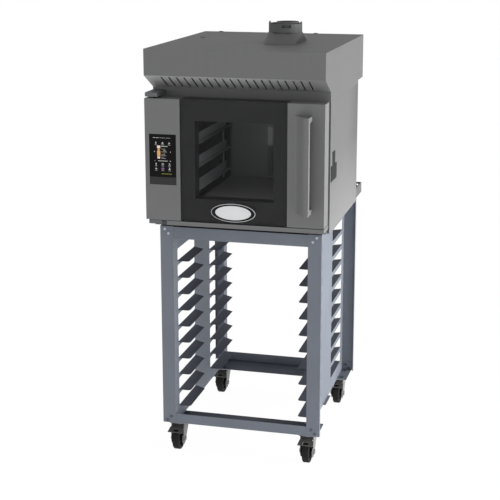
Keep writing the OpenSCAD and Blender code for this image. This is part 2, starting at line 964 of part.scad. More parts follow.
// Fan guard: a plate over the fan box, with an intake of round holes and outlets along its ends
module fan_guard() {
    hole_r = 6;
    hole_pitch = 18;
    ring_count = 4;
    outlet_w = 8;
    outlet_h = 34;
    outlet_r = 3.5;
    outlet_pitch = [22, 48];
    outlet_inset = 14;
    color("#9fa1a3")
        along_x([-cavity_x, -cavity_x + guard_t])
            translate([fan_y, fan_z])
                difference() {
                    square([fan_box_l + 2 * guard_lap, fan_box_h + 2 * guard_lap], center = true);
                    circle(hole_r);
                    for (ring = [1 : ring_count], k = [0 : 6 * ring - 1])
                        rotate(k * 60 / ring)
                            translate([hole_pitch * ring, 0])
                                circle(hole_r);
                    for (side = [-1, 1], column = [0, 1], row = [-2 : 2])
                        translate([side * (fan_box_l / 2 - outlet_inset - outlet_pitch[0] * column),
                            row * outlet_pitch[1]])
                            rounded_rect(outlet_w, outlet_h, outlet_r);
                }
}

module fan_impeller() {
    blade_l = 34;
    ring_w = 30;
    color("#a3a5a7") {
        rod_x([fan_x[0], fan_x[0] + disc_t], fan_r, fan_y, fan_z);
        rod_x(fan_x, hub_r, fan_y, fan_z);
        rod_x([motor_x[0] + motor_end_t + seat_gap, fan_x[1]], shaft_r, fan_y, fan_z);
        for (k = [0 : blade_count - 1])
            translate([0, fan_y, fan_z])
                rotate([k * 360 / blade_count, 0, 0])
                    span([fan_x[0], fan_x[1] - disc_t], [-disc_t / 2, disc_t / 2],
                        [fan_r - blade_l, fan_r - disc_t / 2]);
        along_x([fan_x[1] - disc_t, fan_x[1]])
            translate([fan_y, fan_z])
                difference() {
                    circle(fan_r);
                    circle(fan_r - ring_w);
                }
    }
}

module fan_motor() {
    color("#4c4f52")
        difference() {
            union() {
                rod_x(motor_x, motor_r, fan_y, fan_z);
                rod_x([motor_x[1] - motor_flange_t, motor_x[1]], motor_flange_r, fan_y, fan_z);
            }
            rod_x([motor_x[0] + motor_end_t, motor_x[1] + cut], shaft_r + running_gap, fan_y, fan_z);
        }
}

module heater_coil() {
    color("#6b5a4c") {
        for (x = heater_x)
            translate([x, fan_y, fan_z])
                rotate([0, 90, 0])
                    rotate_extrude()
                        translate([heater_r, 0])
                            circle(heater_tube_r);
        heater_leg_places()
            rod_x([fan_wall_x - blanket_fan - terminal_l, heater_x[1]], heater_leg_r, 0, 0);
    }
}

// Light strip on the cavity's back wall
module cavity_light() {
    strip_w = 18;
    strip_t = 8;
    strip_x = -17;
    strip_h = [10, 188];
    color("#f4f4ee")
        span([strip_x, strip_x + strip_w], [cavity_y[1] - strip_t, cavity_y[1]],
            [cavity_z[0] + strip_h[0], cavity_z[0] + strip_h[1]]);
}

// Drip tray under the door, open at the top
module drip_tray() {
    color("#8c8c8c")
        difference() {
            span(tray_x, [door_y, frame_y], tray_z);
            span([tray_x[0] + case_t, tray_x[1] - case_t], [door_y + case_t, frame_y - case_t],
                [tray_z[0] + case_t, tray_z[1] + cut]);
        }
}

// Hinge plates above and below the door, each with its pin
module hinge_plates() {
    color("#6f7072") {
        span(hinge_top_w, [door_y + hinge_set, apron_y - seat_gap], [hinge_top_z, hinge_top_z + hinge_t]);
        span([-frame_x, hinge_top_w[1]], [frame_y, apron_y - seat_gap], [front_frame_z[1], hinge_top_z]);
        rod_z([door_z[1] + seat_gap, hinge_top_z + cut], bush_r, hinge_x, hinge_y);
        rod_z([door_z[1] - pin_l, hinge_top_z + cut], hinge_pin_r, hinge_x, hinge_y);
        span(hinge_low_w, [door_y + hinge_set, frame_y], [hinge_low_z - hinge_t, hinge_low_z]);
        rod_z([hinge_low_z - cut, door_z[0] - seat_gap], bush_r, hinge_x, hinge_y);
        rod_z([hinge_low_z - cut, door_z[0] + pin_l], hinge_pin_r, hinge_x, hinge_y);
    }
}

module latch_magnet() {
    magnet_x = [cavity_x + 40, cavity_x + 80];
    magnet_h = 30;
    color("#3a3c3e")
        span(magnet_x, [door_back_y + seat_gap, frame_y], [fan_z - magnet_h / 2, fan_z + magnet_h / 2]);
}

module feet() {
    foot_x = (web_x + stand_w / 2) / 2;
    foot_inset = [30, 40];
    color("#1f1f1f")
        for (x = [-foot_x, foot_x], y = [body_y[0] + foot_inset[0], body_y[1] - foot_inset[1]])
            rod_z([frame_z[1], body_z[0]], foot_r, x, y);
}

module side_bracket() {
    color("#5c5c5c")
        along_x([half_w, half_w + bracket_t]) {
            rect(side_block_y, side_block_z);
            rect(side_stem_y, [side_block_z[1], side_stem_top]);
        }
}

// Stand-off at the back, which keeps a wall away, with two holes for wall screws
module rear_bracket() {
    back = body_y[1] + rear_bracket_l;
    mid_z = (rear_bracket_z[0] + rear_bracket_z[1]) / 2;
    color("#5c5c5c")
        difference() {
            union() {
                span([half_w - 2 * bracket_t, half_w], [body_y[1], back], rear_bracket_z);
                for (y = [body_y[1], back - 2 * bracket_t])
                    span([half_w - rear_bracket_w, half_w], [y, y + 2 * bracket_t], rear_bracket_z);
            }
            for (z = [-1, 1])
                rod_y([back - 3 * bracket_t, back + cut], rear_hole_r, half_w - rear_bracket_w / 2,
                    mid_z + z * rear_hole_gap / 2);
        }
}

// Power board on stand-offs inside the right panel, with its relays and capacitors
module power_board() {
    x = half_w - case_t - board_set;
    color("#2f6b45") {
        span([x - board_t, x], board_y, board_z);
        for (y = [board_y[0] + post_inset, board_y[1] - post_inset],
            z = [board_z[0] + post_inset, board_z[1] - post_inset])
            rod_x([x, half_w - case_t], post_r, y, z);
        for (i = [0 : relay_count - 1])
            translate([x - board_t, board_y[0] + relay_at[0] + i * relay_pitch, board_z[0] + relay_at[1]])
                span([-relay[0], 0], [0, relay[1]], [0, relay[2]]);
        for (i = [0 : capacitor_count - 1])
            rod_x([x - board_t - capacitor_h, x - board_t], capacitor_r,
                board_y[0] + capacitor_at[0] + i * capacitor_pitch, board_z[0] + capacitor_at[1]);
    }
}

module cable_gland() {
    color("#303030")
        difference() {
            union() {
                rod_y([body_y[1], body_y[1] + gland_l], gland_r, gland_x, gland_z);
                rod_y([body_y[1] - case_t - gland_inside, body_y[1]], gland_neck_r, gland_x, gland_z);
                translate([gland_x, body_y[1] + gland_nut[1], gland_z])
                    rotate([90, 0, 0])
                        cylinder(r = gland_nut_r, h = gland_nut[1] - gland_nut[0], $fn = 6);
            }
            rod_y([body_y[1] - case_t - gland_inside - cut, body_y[1] + gland_l + cut], gland_bore_r,
                gland_x, gland_z);
        }
}

// Door

module column_shell(x) {
    difference() {
        span(x, [door_y, door_back_y], door_z);
        span([x[0] + wall_t, x[1] - wall_t], [door_y + wall_t, door_back_y - wall_t],
            [door_z[0] + wall_t, door_z[1] - wall_t]);
    }
}

module door_column_left() {
    pocket_z = [panel_z[0] - flap_h, panel_z[1]];
    color("#717171")
        difference() {
            union() {
                column_shell([-half_w, left_x]);
                span([panel_x[0] - pocket_wall, panel_x[1] + pocket_wall],
                    [door_y, door_y + flap_pocket_d + wall_t],
                    [pocket_z[0] - pocket_wall, pocket_z[1] + pocket_wall]);
            }
            span(panel_x, [door_y - cut, door_y + panel_t], pocket_z);
            span(panel_x, [door_y - cut, door_y + flap_pocket_d], [pocket_z[0], panel_z[0]]);
            rod_x([panel_x[0] - pocket_wall + cut, panel_x[1] + pocket_wall - cut],
                flap_pin_r + running_gap, flap_pivot_y, flap_pivot_z);
            rod_z([door_z[0] - cut, door_z[1] + cut], bush_r, hinge_x, hinge_y);
        }
}

module door_column_right() {
    color("#717171")
        column_shell([right_x, half_w]);
}

// Black frame between the columns, with the clear window and a rebate for the inner glass
module door_frame() {
    color("#1d1d1d")
        difference() {
            span([left_x, right_x], [door_y + glass_t, door_back_y], door_z);
            span(window_x, [door_y, door_back_y + cut], window_z);
            span([window_x[0] - inner_glass_lap, window_x[1] + inner_glass_lap],
                [door_back_y - inner_glass_set - inner_glass_t, door_back_y + cut],
                [window_z[0] - inner_glass_lap, window_z[1] + inner_glass_lap]);
        }
}

module outer_glass() {
    color([0.16, 0.16, 0.16, 0.6])
        span([left_x, right_x], [door_y, door_y + glass_t], door_z);
}

module inner_glass() {
    color([0.5, 0.5, 0.5, 0.4])
        span([window_x[0] - inner_glass_lap, window_x[1] + inner_glass_lap],
            [door_back_y - inner_glass_set - inner_glass_t, door_back_y - inner_glass_set],
            [window_z[0] - inner_glass_lap, window_z[1] + inner_glass_lap]);
}

module control_glass() {
    color("#111111")
        span(panel_x, [door_y, door_y + panel_t], panel_z);
}

// Cover of the data port, which swings up about its top edge
module usb_flap() {
    x = [panel_x[0] + flap_gap, panel_x[1] - flap_gap];
    color("#4b4b4b") {
        span(x, [door_y, door_y + panel_t], [panel_z[0] - flap_h + flap_gap, flap_pivot_z]);
        rod_x(x, flap_round_r, flap_pivot_y, flap_pivot_z);
        rod_x([panel_x[0] - pocket_wall + cut + flap_gap, panel_x[1] + pocket_wall - cut - flap_gap],
            flap_pin_r, flap_pivot_y, flap_pivot_z);
    }
}

// The handle's sheet rises from the door in a smooth S, turns over a ridge and comes back as a lip
function handle_rise(s) = 3 * s * s - 2 * s * s * s;

function handle_curve(shift) = [for (i = [0 : handle_steps])
    [handle_x - handle_root + shift + (handle_root - handle_ridge) * i / handle_steps,
        door_y - (handle_out - shift) * handle_rise(i / handle_steps)]];

module handle() {
    outer = handle_curve(0);
    inner = handle_curve(handle_t);
    color("#787878") {
        along_z(handle_z)
            difference() {
                polygon(concat(outer, [[handle_x, door_y - handle_out],
                    [handle_x, door_y - handle_out + handle_lip],
                    [handle_x - handle_t, door_y - handle_out + handle_lip],
                    [handle_x - handle_t, door_y]]));
                polygon(concat(inner, [[handle_x - handle_t, door_y - handle_out + handle_t],
                    [handle_x - handle_t, door_y + cut], [inner[0][0], door_y + cut]]));
            }
        for (z = [handle_z[0], handle_z[1] - handle_end_h])
            along_z([z, z + handle_end_h])
                polygon(concat(outer, [[handle_x, door_y - handle_out], [handle_x, door_y]]));
    }
}

module badge_plate() {
    color("#b9b9b9")
        along_y([door_y - badge_t, door_y])
            translate([badge_x, badge_z])
                polygon([for (i = [0 : 71]) [badge_w / 2 * cos(5 * i), badge_h / 2 * sin(5 * i)]]);
}

module hinge_bushes() {
    color("#b08d4c")
        for (z = [door_z[0], door_z[1] - bush_h])
            difference() {
                rod_z([z, z + bush_h], bush_r, hinge_x, hinge_y);
                rod_z([z - cut, z + bush_h + cut], hinge_pin_r + running_gap, hinge_x, hinge_y);
            }
}

// Hood

// Side view of the front edge, set back from the outer surface by inset
function hood_front_edge(inset) = let (
        slope = undercut_h / undercut_d,
        rise = inset * (1 / cos(undercut_angle) - slope)
    ) [[apron_y + inset, hood_z[0]], [apron_y + inset, apron_z + rise],
        [hood_y[0] + inset, face_z + rise], [hood_y[0] + inset, hood_z[1]]];

// Box of the hood, open to the front: two side sheets, and between them a top, a stepped back and a floor
module hood_shell() {
    inner = [-half_w + case_t + weld_gap, half_w - case_t - weld_gap];
    tail_z = hood_z[0] + tail_rise;
    top_z = hood_z[1] - case_t;
    color("#6d6d6d") {
        for (side = [-1, 1])
            on_side(side)
                along_x([half_w - case_t, half_w])
                    polygon(concat(hood_front_edge(case_t), [[hood_y[1], hood_z[1]], [hood_y[1], tail_z],
                        [body_y[1], tail_z], [body_y[1], hood_z[0]]]));
        difference() {
            span(inner, [hood_y[0] + case_t, hood_y[1]], [top_z, hood_z[1]]);
            rod_z([top_z - cut, hood_z[1] + cut], duct_r, duct_x, flue_y);
        }
        span(inner, [hood_y[1] - case_t, hood_y[1]], [tail_z, top_z - weld_gap]);
        span(inner, [body_y[1] + weld_gap, hood_y[1] - case_t - weld_gap], [tail_z, tail_z + case_t]);
        span(inner, [body_y[1] - case_t, body_y[1]], [hood_z[0], tail_z + case_t]);
        span(inner, [apron_y + case_t, body_y[1] - case_t - weld_gap], [hood_z[0], hood_z[0] + case_t]);
    }
}

// Front sheet of the hood: face, slotted undercut and apron
module hood_front() {
    back_edge = hood_front_edge(case_t);
    color("#6a6a6a")
        difference() {
            along_x([-half_w, half_w])
                polygon(concat(hood_front_edge(0), [for (i = [3 : -1 : 0]) back_edge[i]]));
            for (i = [0 : slot_count - 1])
                translate([-slot_span / 2 + i * slot_span / (slot_count - 1), hood_y[0], face_z])
                    rotate([-undercut_angle, 0, 0])
                        translate([0, undercut_l / 2, 0])
                            cube([slot_w, slot_l, 4 * case_t], center = true);
        }
}

// Transition from a rectangle on the hood to a circle, below the collar's neck
module transition(inset) {
    hull() {
        translate([0, 0, inset > 0 ? -cut : 0])
            linear_extrude(flue_wall)
                rounded_rect(collar_base_w - 2 * inset, collar_base_d - 2 * inset, collar_corner_r - inset,
                    $fn = 32);
        translate([0, 0, collar_h - neck_h - flue_wall])
            cylinder(r = collar_r + neck_ledge - inset, h = flue_wall + (inset > 0 ? cut : 0), $fn = 32);
    }
}

// Collar with two ears on its neck, and the duct that stands inside it
module flue_collar() {
    color("#6a6a6a") {
        translate([flue_x, flue_y, hood_z[1]])
            difference() {
                transition(0);
                transition(flue_wall);
            }
        difference() {
            rod_z([hood_z[1] + collar_h - neck_h, hood_z[1] + collar_h], collar_r, flue_x, flue_y);
            rod_z([hood_z[1] + collar_h - neck_h - cut, hood_z[1] + collar_h + cut],
                collar_r - flue_wall, flue_x, flue_y);
            span(flue_slot_x, [flue_y - collar_base_d, flue_y], flue_slot_z);
        }
        translate([flue_x, flue_y, hood_z[1] + collar_h])
            for (side = [-1, 1])
                on_side(side)
                    span(ear_x, [-ear_l / 2, ear_l / 2], [-ear_rise, ear_h]);
        difference() {
            rod_z(duct_z, duct_r, duct_x, flue_y);
            rod_z([duct_z[0] - cut, duct_z[1] + cut], duct_r - duct_t, duct_x, flue_y);
        }
    }
}

// Filter behind the apron: a frame filled with upright baffles
module grease_filter() {
    x = half_w - case_t - seat_gap;
    count = floor(2 * x / filter_pitch) - 2;
    color("#a5a5a5")
        difference() {
            span([-x, x], filter_y, [hood_z[0] + case_t, hood_z[1] - case_t]);
            for (i = [0 : count - 1], side = [0, 1])
                translate([(i + side / 2 - (count - 0.5) / 2) * filter_pitch, filter_y[side], 0])
                    span([-filter_groove_w / 2, filter_groove_w / 2], [-filter_groove_d, filter_groove_d],
                        [hood_z[0] + filter_edge, hood_z[1] - filter_edge]);
        }
}

module blower_wheel() {
    vane_l = 18;
    ring_w = 14;
    hub_share = 0.5;
    color("#9c9ea0")
        translate([flue_x, flue_y, blower_z]) {
            cylinder(r = blower_r, h = disc_t);
            cylinder(r = blower_hub_r, h = blower_h * hub_share);
            translate([0, 0, blower_box_z[0] - blower_z - blower_shaft_l])
                cylinder(r = blower_shaft_r, h = blower_z - blower_box_z[0] + blower_shaft_l);
            for (k = [0 : blade_count - 1])
                rotate([0, 0, k * 360 / blade_count])
                    span([blower_r - vane_l, blower_r - disc_t / 2], [-disc_t / 2, disc_t / 2],
                        [0, blower_h]);
            translate([0, 0, blower_h - disc_t])
                difference() {
                    cylinder(r = blower_r, h = disc_t);
                    translate([0, 0, -cut])
                        cylinder(r = blower_r - ring_w, h = disc_t + 2 * cut);
                }
        }
}

// Blower housing hung under the hood's top, with the motor below its floor
module blower_housing() {
    wall = 1.5;
    x = [flue_x - blower_box / 2, flue_x + blower_box / 2];
    y = [flue_y - blower_box / 2, flue_y + blower_box / 2];
    color("#85878a") {
        difference() {
            span(x, y, blower_box_z);
            span([x[0] + wall, x[1] - wall], [y[0] + wall, y[1] - wall],
                [blower_box_z[0] + wall, blower_box_z[1] - wall]);
            rod_z([blower_box_z[1] - wall - cut, blower_box_z[1] + cut], duct_r, duct_x, flue_y);
            rod_z([blower_box_z[0] - cut, blower_box_z[0] + wall + cut], blower_shaft_r + running_gap,
                flue_x, flue_y);
            for (turn = [0 : 45 : 315])
                translate([flue_x, flue_y, 0])
                    rotate([0, 0, turn])
                        rod_z([blower_box_z[0] - cut, blower_box_z[0] + wall + cut],
                            blower_inlet_hole_r, blower_inlet_r, 0);
        }
        difference() {
            rod_z([blower_box_z[0] - blower_motor_h, blower_box_z[0]], blower_motor_r, flue_x, flue_y);
            rod_z([blower_box_z[0] - blower_motor_bore_l, blower_box_z[0] + cut],
                blower_shaft_r + running_gap, flue_x, flue_y);
        }
    }
}

stand_side_left();
stand_side_right();
tray_slides();
rail_front_top();
rail_front_bottom();
rails_rear();
bolts_and_screws();
caster_plates();
fork_front_left();
fork_front_right();
fork_rear_left();
fork_rear_right();
wheel_front_left();
wheel_front_right();
wheel_rear_left();
wheel_rear_right();
pedal_front_left();
pedal_front_right();
pedal_rear_left();
pedal_rear_right();
base_pan();
side_panel_left();
side_panel_right();
top_panel();
back_panel();
front_frame();
chamber();
insulation();
door_gasket();
rack_left();
rack_right();
fan_guard();
fan_impeller();
fan_motor();
heater_coil();
cavity_light();
drip_tray();
hinge_plates();
latch_magnet();
feet();
side_bracket();
rear_bracket();
power_board();
cable_gland();
door_column_left();
door_column_right();
door_frame();
outer_glass();
inner_glass();
control_glass();
usb_flap();
handle();
badge_plate();
hinge_bushes();
hood_shell();
hood_front();
flue_collar();
grease_filter();
blower_wheel();
blower_housing();
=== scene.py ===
"""Looks of a convection oven with a hood on a rack stand with casters.

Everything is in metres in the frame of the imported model: front is -Y, right is +X, up is +Z and the
floor is at Z = 0.
"""
import json
import math

import bmesh
import bpy
from mathutils import Matrix, Vector


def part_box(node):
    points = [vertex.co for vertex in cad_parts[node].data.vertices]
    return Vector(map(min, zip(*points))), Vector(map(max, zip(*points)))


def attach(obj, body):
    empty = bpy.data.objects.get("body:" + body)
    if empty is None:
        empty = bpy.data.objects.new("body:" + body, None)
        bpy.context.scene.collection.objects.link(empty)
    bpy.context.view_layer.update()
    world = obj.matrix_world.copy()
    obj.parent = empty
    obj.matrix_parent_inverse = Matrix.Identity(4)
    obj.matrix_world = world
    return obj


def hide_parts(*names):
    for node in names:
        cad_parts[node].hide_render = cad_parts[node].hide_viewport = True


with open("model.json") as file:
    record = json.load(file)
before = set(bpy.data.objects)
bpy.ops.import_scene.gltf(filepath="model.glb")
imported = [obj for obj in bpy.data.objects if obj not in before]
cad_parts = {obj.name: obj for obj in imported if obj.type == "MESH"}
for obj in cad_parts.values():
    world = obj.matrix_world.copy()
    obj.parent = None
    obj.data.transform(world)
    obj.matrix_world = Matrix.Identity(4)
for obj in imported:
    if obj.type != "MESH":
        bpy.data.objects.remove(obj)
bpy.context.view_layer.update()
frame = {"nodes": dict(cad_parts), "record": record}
nodes = frame["nodes"]

MM = 0.001


# Shader helpers

class Tree:
    """Short ways to add and join shader nodes in one node tree."""

    def __init__(self, tree):
        self.tree = tree
        tree.nodes.clear()

    def add(self, kind, values=None, **settings):
        """A new node. Values go to its inputs and settings to the node itself."""
        node = self.tree.nodes.new(kind)
        for name, value in settings.items():
            setattr(node, name, value)
        for name, value in (values or {}).items():
            node.inputs[name].default_value = value
        return node

    def feed(self, source, target):
        """Joins an output to an input, or sets the input where a plain value is given."""
        if isinstance(source, bpy.types.NodeSocket):
            self.tree.links.new(source, target)
        else:
            target.default_value = source

    def math(self, operation, first, second, clamp=False):
        """The outcome of an operation on two values or outputs."""
        node = self.add("ShaderNodeMath", operation=operation, use_clamp=clamp)
        self.feed(first, node.inputs[0])
        self.feed(second, node.inputs[1])
        return node.outputs[0]

    def spread(self, value, low, high, to_low=0.0, to_high=1.0):
        """Maps a value from one range to another."""
        node = self.add("ShaderNodeMapRange", {
            "From Min": low, "From Max": high, "To Min": to_low, "To Max": to_high})
        self.feed(value, node.inputs["Value"])
        return node.outputs["Result"]

    def mix(self, mask, first, second):
        """The first colour where the mask is 0 and the second where it is 1."""
        node = self.add("ShaderNodeMix", data_type="RGBA")
        factor = next(s for s in node.inputs if s.name == "Factor" and s.type == "VALUE")
        colours = [s for s in node.inputs if s.type == "RGBA"]
        for value, socket in ((mask, factor), (first, colours[0]), (second, colours[1])):
            self.feed(value, socket)
        return next(s for s in node.outputs if s.type == "RGBA")

    def texcoord(self, kind):
        """An output of the texture coordinates: Object, Normal or Generated."""
        return self.add("ShaderNodeTexCoord").outputs[kind]

    def part(self, vector, axis):
        """One axis of a vector."""
        parts = self.add("ShaderNodeSeparateXYZ")
        self.feed(vector, parts.inputs["Vector"])
        return parts.outputs[axis]

    def place(self, axis):
        """Where a point lies along one axis of the object."""
        return self.part(self.texcoord("Object"), axis)

    def facing(self, axis):
        """How far a face looks along one axis of the object."""
        return self.part(self.texcoord("Normal"), axis)

    def noise(self, **values):
        """Noise over the object's own coordinates."""
        node = self.add("ShaderNodeTexNoise")
        self.feed(self.texcoord("Object"), node.inputs["Vector"])
        for name, value in values.items():
            self.feed(value, node.inputs[name])
        return node.outputs["Fac"]


FLOAT, VECTOR = "NodeSocketFloat", "NodeSocketVector"

# Brushing lines and crystals, as the noise's scale along each axis
UPRIGHT = (1100.0, 1100.0, 9.0)
LENGTHWISE = (1100.0, 9.0, 1100.0)
CRYSTALS = (300.0, 300.0, 300.0)

# Depths of relief
BRUSHING_DEPTH = 0.04 * MM
COAT_DEPTH = 0.08 * MM

# The handle's painted shade behind its lip: how much of the lip stays light behind its front edge, how long
# its closed ends are, and how softly the painted shade fades in along Y and along Z
LIP_SHOWN = 21 * MM
LIP_END = 16 * MM
LIP_FADE = (1.5 * MM, 6 * MM)

# The hood front's underside carries painted light up to the first place along X and is plain from the second
UNDERSIDE_FADE = (0.02, 0.26)

# Share of the cavity light's height that is lit, from its top
LIT_SHARE = 0.38

# The chamber's side walls start and end to carry painted shade at these distances from its outside
WALL_FADE = (30 * MM, 15 * MM)

CORNERS = ("front_left", "front_right", "rear_left", "rear_right")


def new_group(name, inputs, outputs):
    """A shader node group. Inputs give a name, a type and a default, outputs a name."""
    tree = bpy.data.node_groups.new(name, "ShaderNodeTree")
    for label, kind, default in inputs:
        tree.interface.new_socket(label, in_out="INPUT", socket_type=kind).default_value = default
    for label in outputs:
        tree.interface.new_socket(label, in_out="OUTPUT", socket_type=FLOAT)
    work = Tree(tree)
    return tree, work, work.add("NodeGroupInput"), work.add("NodeGroupOutput")


def make_grain_group():
    """Fine brushing lines along one axis, under a slow cloud of tone."""
    tree, work, given, result = new_group(
        "brushed_grain", [("Lines", VECTOR, (0.0, 0.0, 0.0))], ["Height", "Tone"])
    stretch = work.add("ShaderNodeVectorMath", operation="MULTIPLY")
    work.feed(work.texcoord("Object"), stretch.inputs[0])
    work.feed(given.outputs["Lines"], stretch.inputs[1])
    lines = work.add("ShaderNodeTexNoise", {"Scale": 1.0, "Detail": 3.0, "Roughness": 0.6})
    work.feed(stretch.outputs["Vector"], lines.inputs["Vector"])
    height = work.math("SUBTRACT", lines.outputs["Fac"], 0.5)
    cloud = work.math("MULTIPLY", work.math("SUBTRACT", work.noise(Scale=3.0, Detail=2.0), 0.5), 0.7)
    work.feed(height, result.inputs["Height"])
    work.feed(work.math("ADD", work.math("ADD", height, cloud), 0.5, clamp=True), result.inputs["Tone"])
    return tree


def make_ripple_group():
    """The ripple of a sprayed coat or of a mould, under a slow change of tone."""
    tree, work, given, result = new_group(
        "surface_ripple", [("Fineness", FLOAT, 900.0)], ["Height", "Tone"])
    ripple = work.noise(Scale=given.outputs["Fineness"], Detail=2.0, Roughness=0.5)
    work.feed(work.math("SUBTRACT", ripple, 0.5), result.inputs["Height"])
    work.feed(work.spread(work.noise(Scale=5.0, Detail=3.0), 0.3, 0.7), result.inputs["Tone"])
    return tree


def make_dust_group():
    """Dust in loose patches on faces that look up."""
    tree, work, given, result = new_group("settled_dust", [("Amount", FLOAT, 0.2)], ["Mask"])
    up = work.spread(work.part(work.add("ShaderNodeNewGeometry").outputs["Normal"], "Z"), 0.5, 1.0)
    patch = work.spread(work.noise(Scale=9.0, Detail=5.0, Roughness=0.65), 0.35, 0.75)
    mask = work.math("MULTIPLY", up, patch)
    work.feed(work.math("MULTIPLY", mask, given.outputs["Amount"], clamp=True), result.inputs["Mask"])
    return tree


def make_rub_group():
    """Small rubs and scuffs, scattered sparsely."""
    tree, work, given, result = new_group(
        "scattered_rubs", [("Fineness", FLOAT, 60.0), ("Amount", FLOAT, 0.3)], ["Mask"])
    marks = work.noise(Scale=given.outputs["Fineness"], Detail=6.0, Roughness=0.7, Distortion=0.8)
    sparse = work.spread(marks, 0.62, 0.74)
    work.feed(work.math("MULTIPLY", sparse, given.outputs["Amount"], clamp=True), result.inputs["Mask"])
    return tree


def make_edge_group():
    """Worn edges: where a rounded normal leaves the true one, broken up by noise."""
    tree, work, given, result = new_group(
        "edge_wear", [("Width", FLOAT, 0.001), ("Amount", FLOAT, 0.5)], ["Mask"])
    rounded = work.add("ShaderNodeBevel", samples=4)
    work.feed(given.outputs["Width"], rounded.inputs["Radius"])
    shape = work.add("ShaderNodeNewGeometry")
    turn = work.add("ShaderNodeVectorMath", operation="DOT_PRODUCT")
    work.feed(rounded.outputs["Normal"], turn.inputs[0])
    work.feed(shape.outputs["Normal"], turn.inputs[1])
    edge = work.spread(turn.outputs["Value"], 0.99, 0.85)
    broken = work.spread(work.noise(Scale=45.0, Detail=5.0, Roughness=0.7), 0.4, 0.6)
    mask = work.math("MULTIPLY", edge, broken)
    work.feed(work.math("MULTIPLY", mask, given.outputs["Amount"], clamp=True), result.inputs["Mask"])
    return tree


GRAIN = make_grain_group()
RIPPLE = make_ripple_group()
DUST = make_dust_group()
RUBS = make_rub_group()
WEAR = make_edge_group()


def tint(code, times=1.0):
    """A colour written as on a colour chart, in linear values, made lighter or darker by a factor."""
    parts = [int(code[i:i + 2], 16) / 255 for i in (1, 3, 5)]
    linear = [p / 12.92 if p <= 0.04045 else ((p + 0.055) / 1.055) ** 2.4 for p in parts]
    return tuple(min(1.0, p * times) for p in linear) + (1.0,)


class Finish:
    """One material: a Principled shader with helpers for what feeds it."""

    def __init__(self, name, **plain):
        self.material = bpy.data.materials.new(name)
        self.material.use_nodes = True
        self.work = Tree(self.material.node_tree)
        self.shader = self.work.add("ShaderNodeBsdfPrincipled")
        for socket, value in plain.items():
            self.shader.inputs[socket.replace("_", " ")].default_value = value
        out = self.work.add("ShaderNodeOutputMaterial")
        self.work.feed(self.shader.outputs[0], out.inputs["Surface"])

    def use(self, group, **values):
        """The outputs of a node group with these values at its inputs."""
        node = self.work.add("ShaderNodeGroup", node_tree=group)
        for name, value in values.items():
            node.inputs[name].default_value = value
        return node.outputs

    def colour(self, source):
        """Sets the base colour."""
        self.work.feed(source, self.shader.inputs["Base Color"])

    def rough(self, tone, low, high):
        """Sets the roughness, which goes from low to high with the tone."""
        self.work.feed(self.work.spread(tone, 0.0, 1.0, low, high), self.shader.inputs["Roughness"])

    def bump(self, height, depth, strength=0.6):
        """Gives the surface a relief of this depth."""
        node = self.work.add("ShaderNodeBump", {"Distance": depth, "Strength": strength})
        self.work.feed(height, node.inputs["Height"])
        self.work.feed(node.outputs["Normal"], self.shader.inputs["Normal"])


def within(work, value, low, high, fade):
    """1 between two values and 0 beyond them. The fade lies inside them."""
    above = work.spread(value, low, low + fade)
    below = work.spread(value, high, high - fade)
    return work.math("MULTIPLY", above, below)


def painted_handle_shade_mask(work):
    """Painted shade: 1 on faces that look back, and on the rear edge of the handle's lip between its closed
    ends, where the hollow behind the lip lies.
    """
    low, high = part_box("handle")
    shown = low.y + LIP_SHOWN
    rear = work.spread(work.place("Y"), shown - LIP_FADE[0], shown + LIP_FADE[0])
    open_part = within(work, work.place("Z"), low.z + LIP_END, high.z - LIP_END, LIP_FADE[1])
    outwards = work.spread(work.facing("X"), 0.5, 0.8)
    lip_edge = work.math("MULTIPLY", work.math("MULTIPLY", rear, outwards), open_part)
    return work.math("MAXIMUM", work.spread(work.facing("Y"), 0.1, 0.3), lip_edge)


def painted_underside_light_mask(work):
    """Painted light on the hood front's underside: 1 on faces that look down, towards the left."""
    leftwards = work.spread(work.place("X"), UNDERSIDE_FADE[1], UNDERSIDE_FADE[0])
    return work.math("MULTIPLY", work.spread(work.facing("Z"), -0.25, -0.45), leftwards)


def brushed_steel(name, code, lines, rough=(0.55, 0.7), metallic=0.15, dust=0.1, specular=0.08,
                  painted_shading=None):
    """Sheet metal with brushing lines, slow changes of gloss and a film of dust.

    A painted shading is a mask's function and the colour that goes where the mask is 1; it paints light and
    shade onto the sheet.
    """
    made = Finish(name, Metallic=metallic, Specular_IOR_Level=specular)
    grain = made.use(GRAIN, Lines=lines)
    film = made.use(DUST, Amount=dust)
    tone = made.work.mix(grain["Tone"], tint(code, 0.9), tint(code, 1.1))
    tone = made.work.mix(film["Mask"], tone, tint("#8c8984"))
    # Painted light and shade where the mask is 1
    if painted_shading:
        tone = made.work.mix(painted_shading[0](made.work), tone, tint(painted_shading[1]))
    made.colour(tone)
    made.rough(grain["Tone"], *rough)
    made.bump(grain["Height"], BRUSHING_DEPTH)
    return made.material


def painted_side_steel(name, code):
    """The steel of the right side, with painted light that makes it paler towards its foot and painted shade
    that makes it darker towards its back.
    """
    made = Finish(name, Metallic=0.15, Specular_IOR_Level=0.08)
    low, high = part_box("side_panel_right")
    turn = low.lerp(high, 0.6)
    painted_light_at_foot = made.work.spread(made.work.place("Z"), turn.z, low.z)
    back = made.work.spread(made.work.place("Y"), turn.y, high.y)
    grain = made.use(GRAIN, Lines=UPRIGHT)
    tone = made.work.mix(grain["Tone"], tint(code, 0.9), tint(code, 1.1))
    # The pale copy is painted light towards the foot, and the dark copy painted shade towards the back
    pale = made.work.mix(grain["Tone"], tint(code, 1.3), tint(code, 1.55))
    dark = made.work.mix(grain["Tone"], tint(code, 0.68), tint(code, 0.82))
    made.colour(made.work.mix(painted_light_at_foot, made.work.mix(back, tone, dark), pale))
    made.rough(grain["Tone"], 0.55, 0.7)
    made.bump(grain["Height"], BRUSHING_DEPTH)
    return made.material


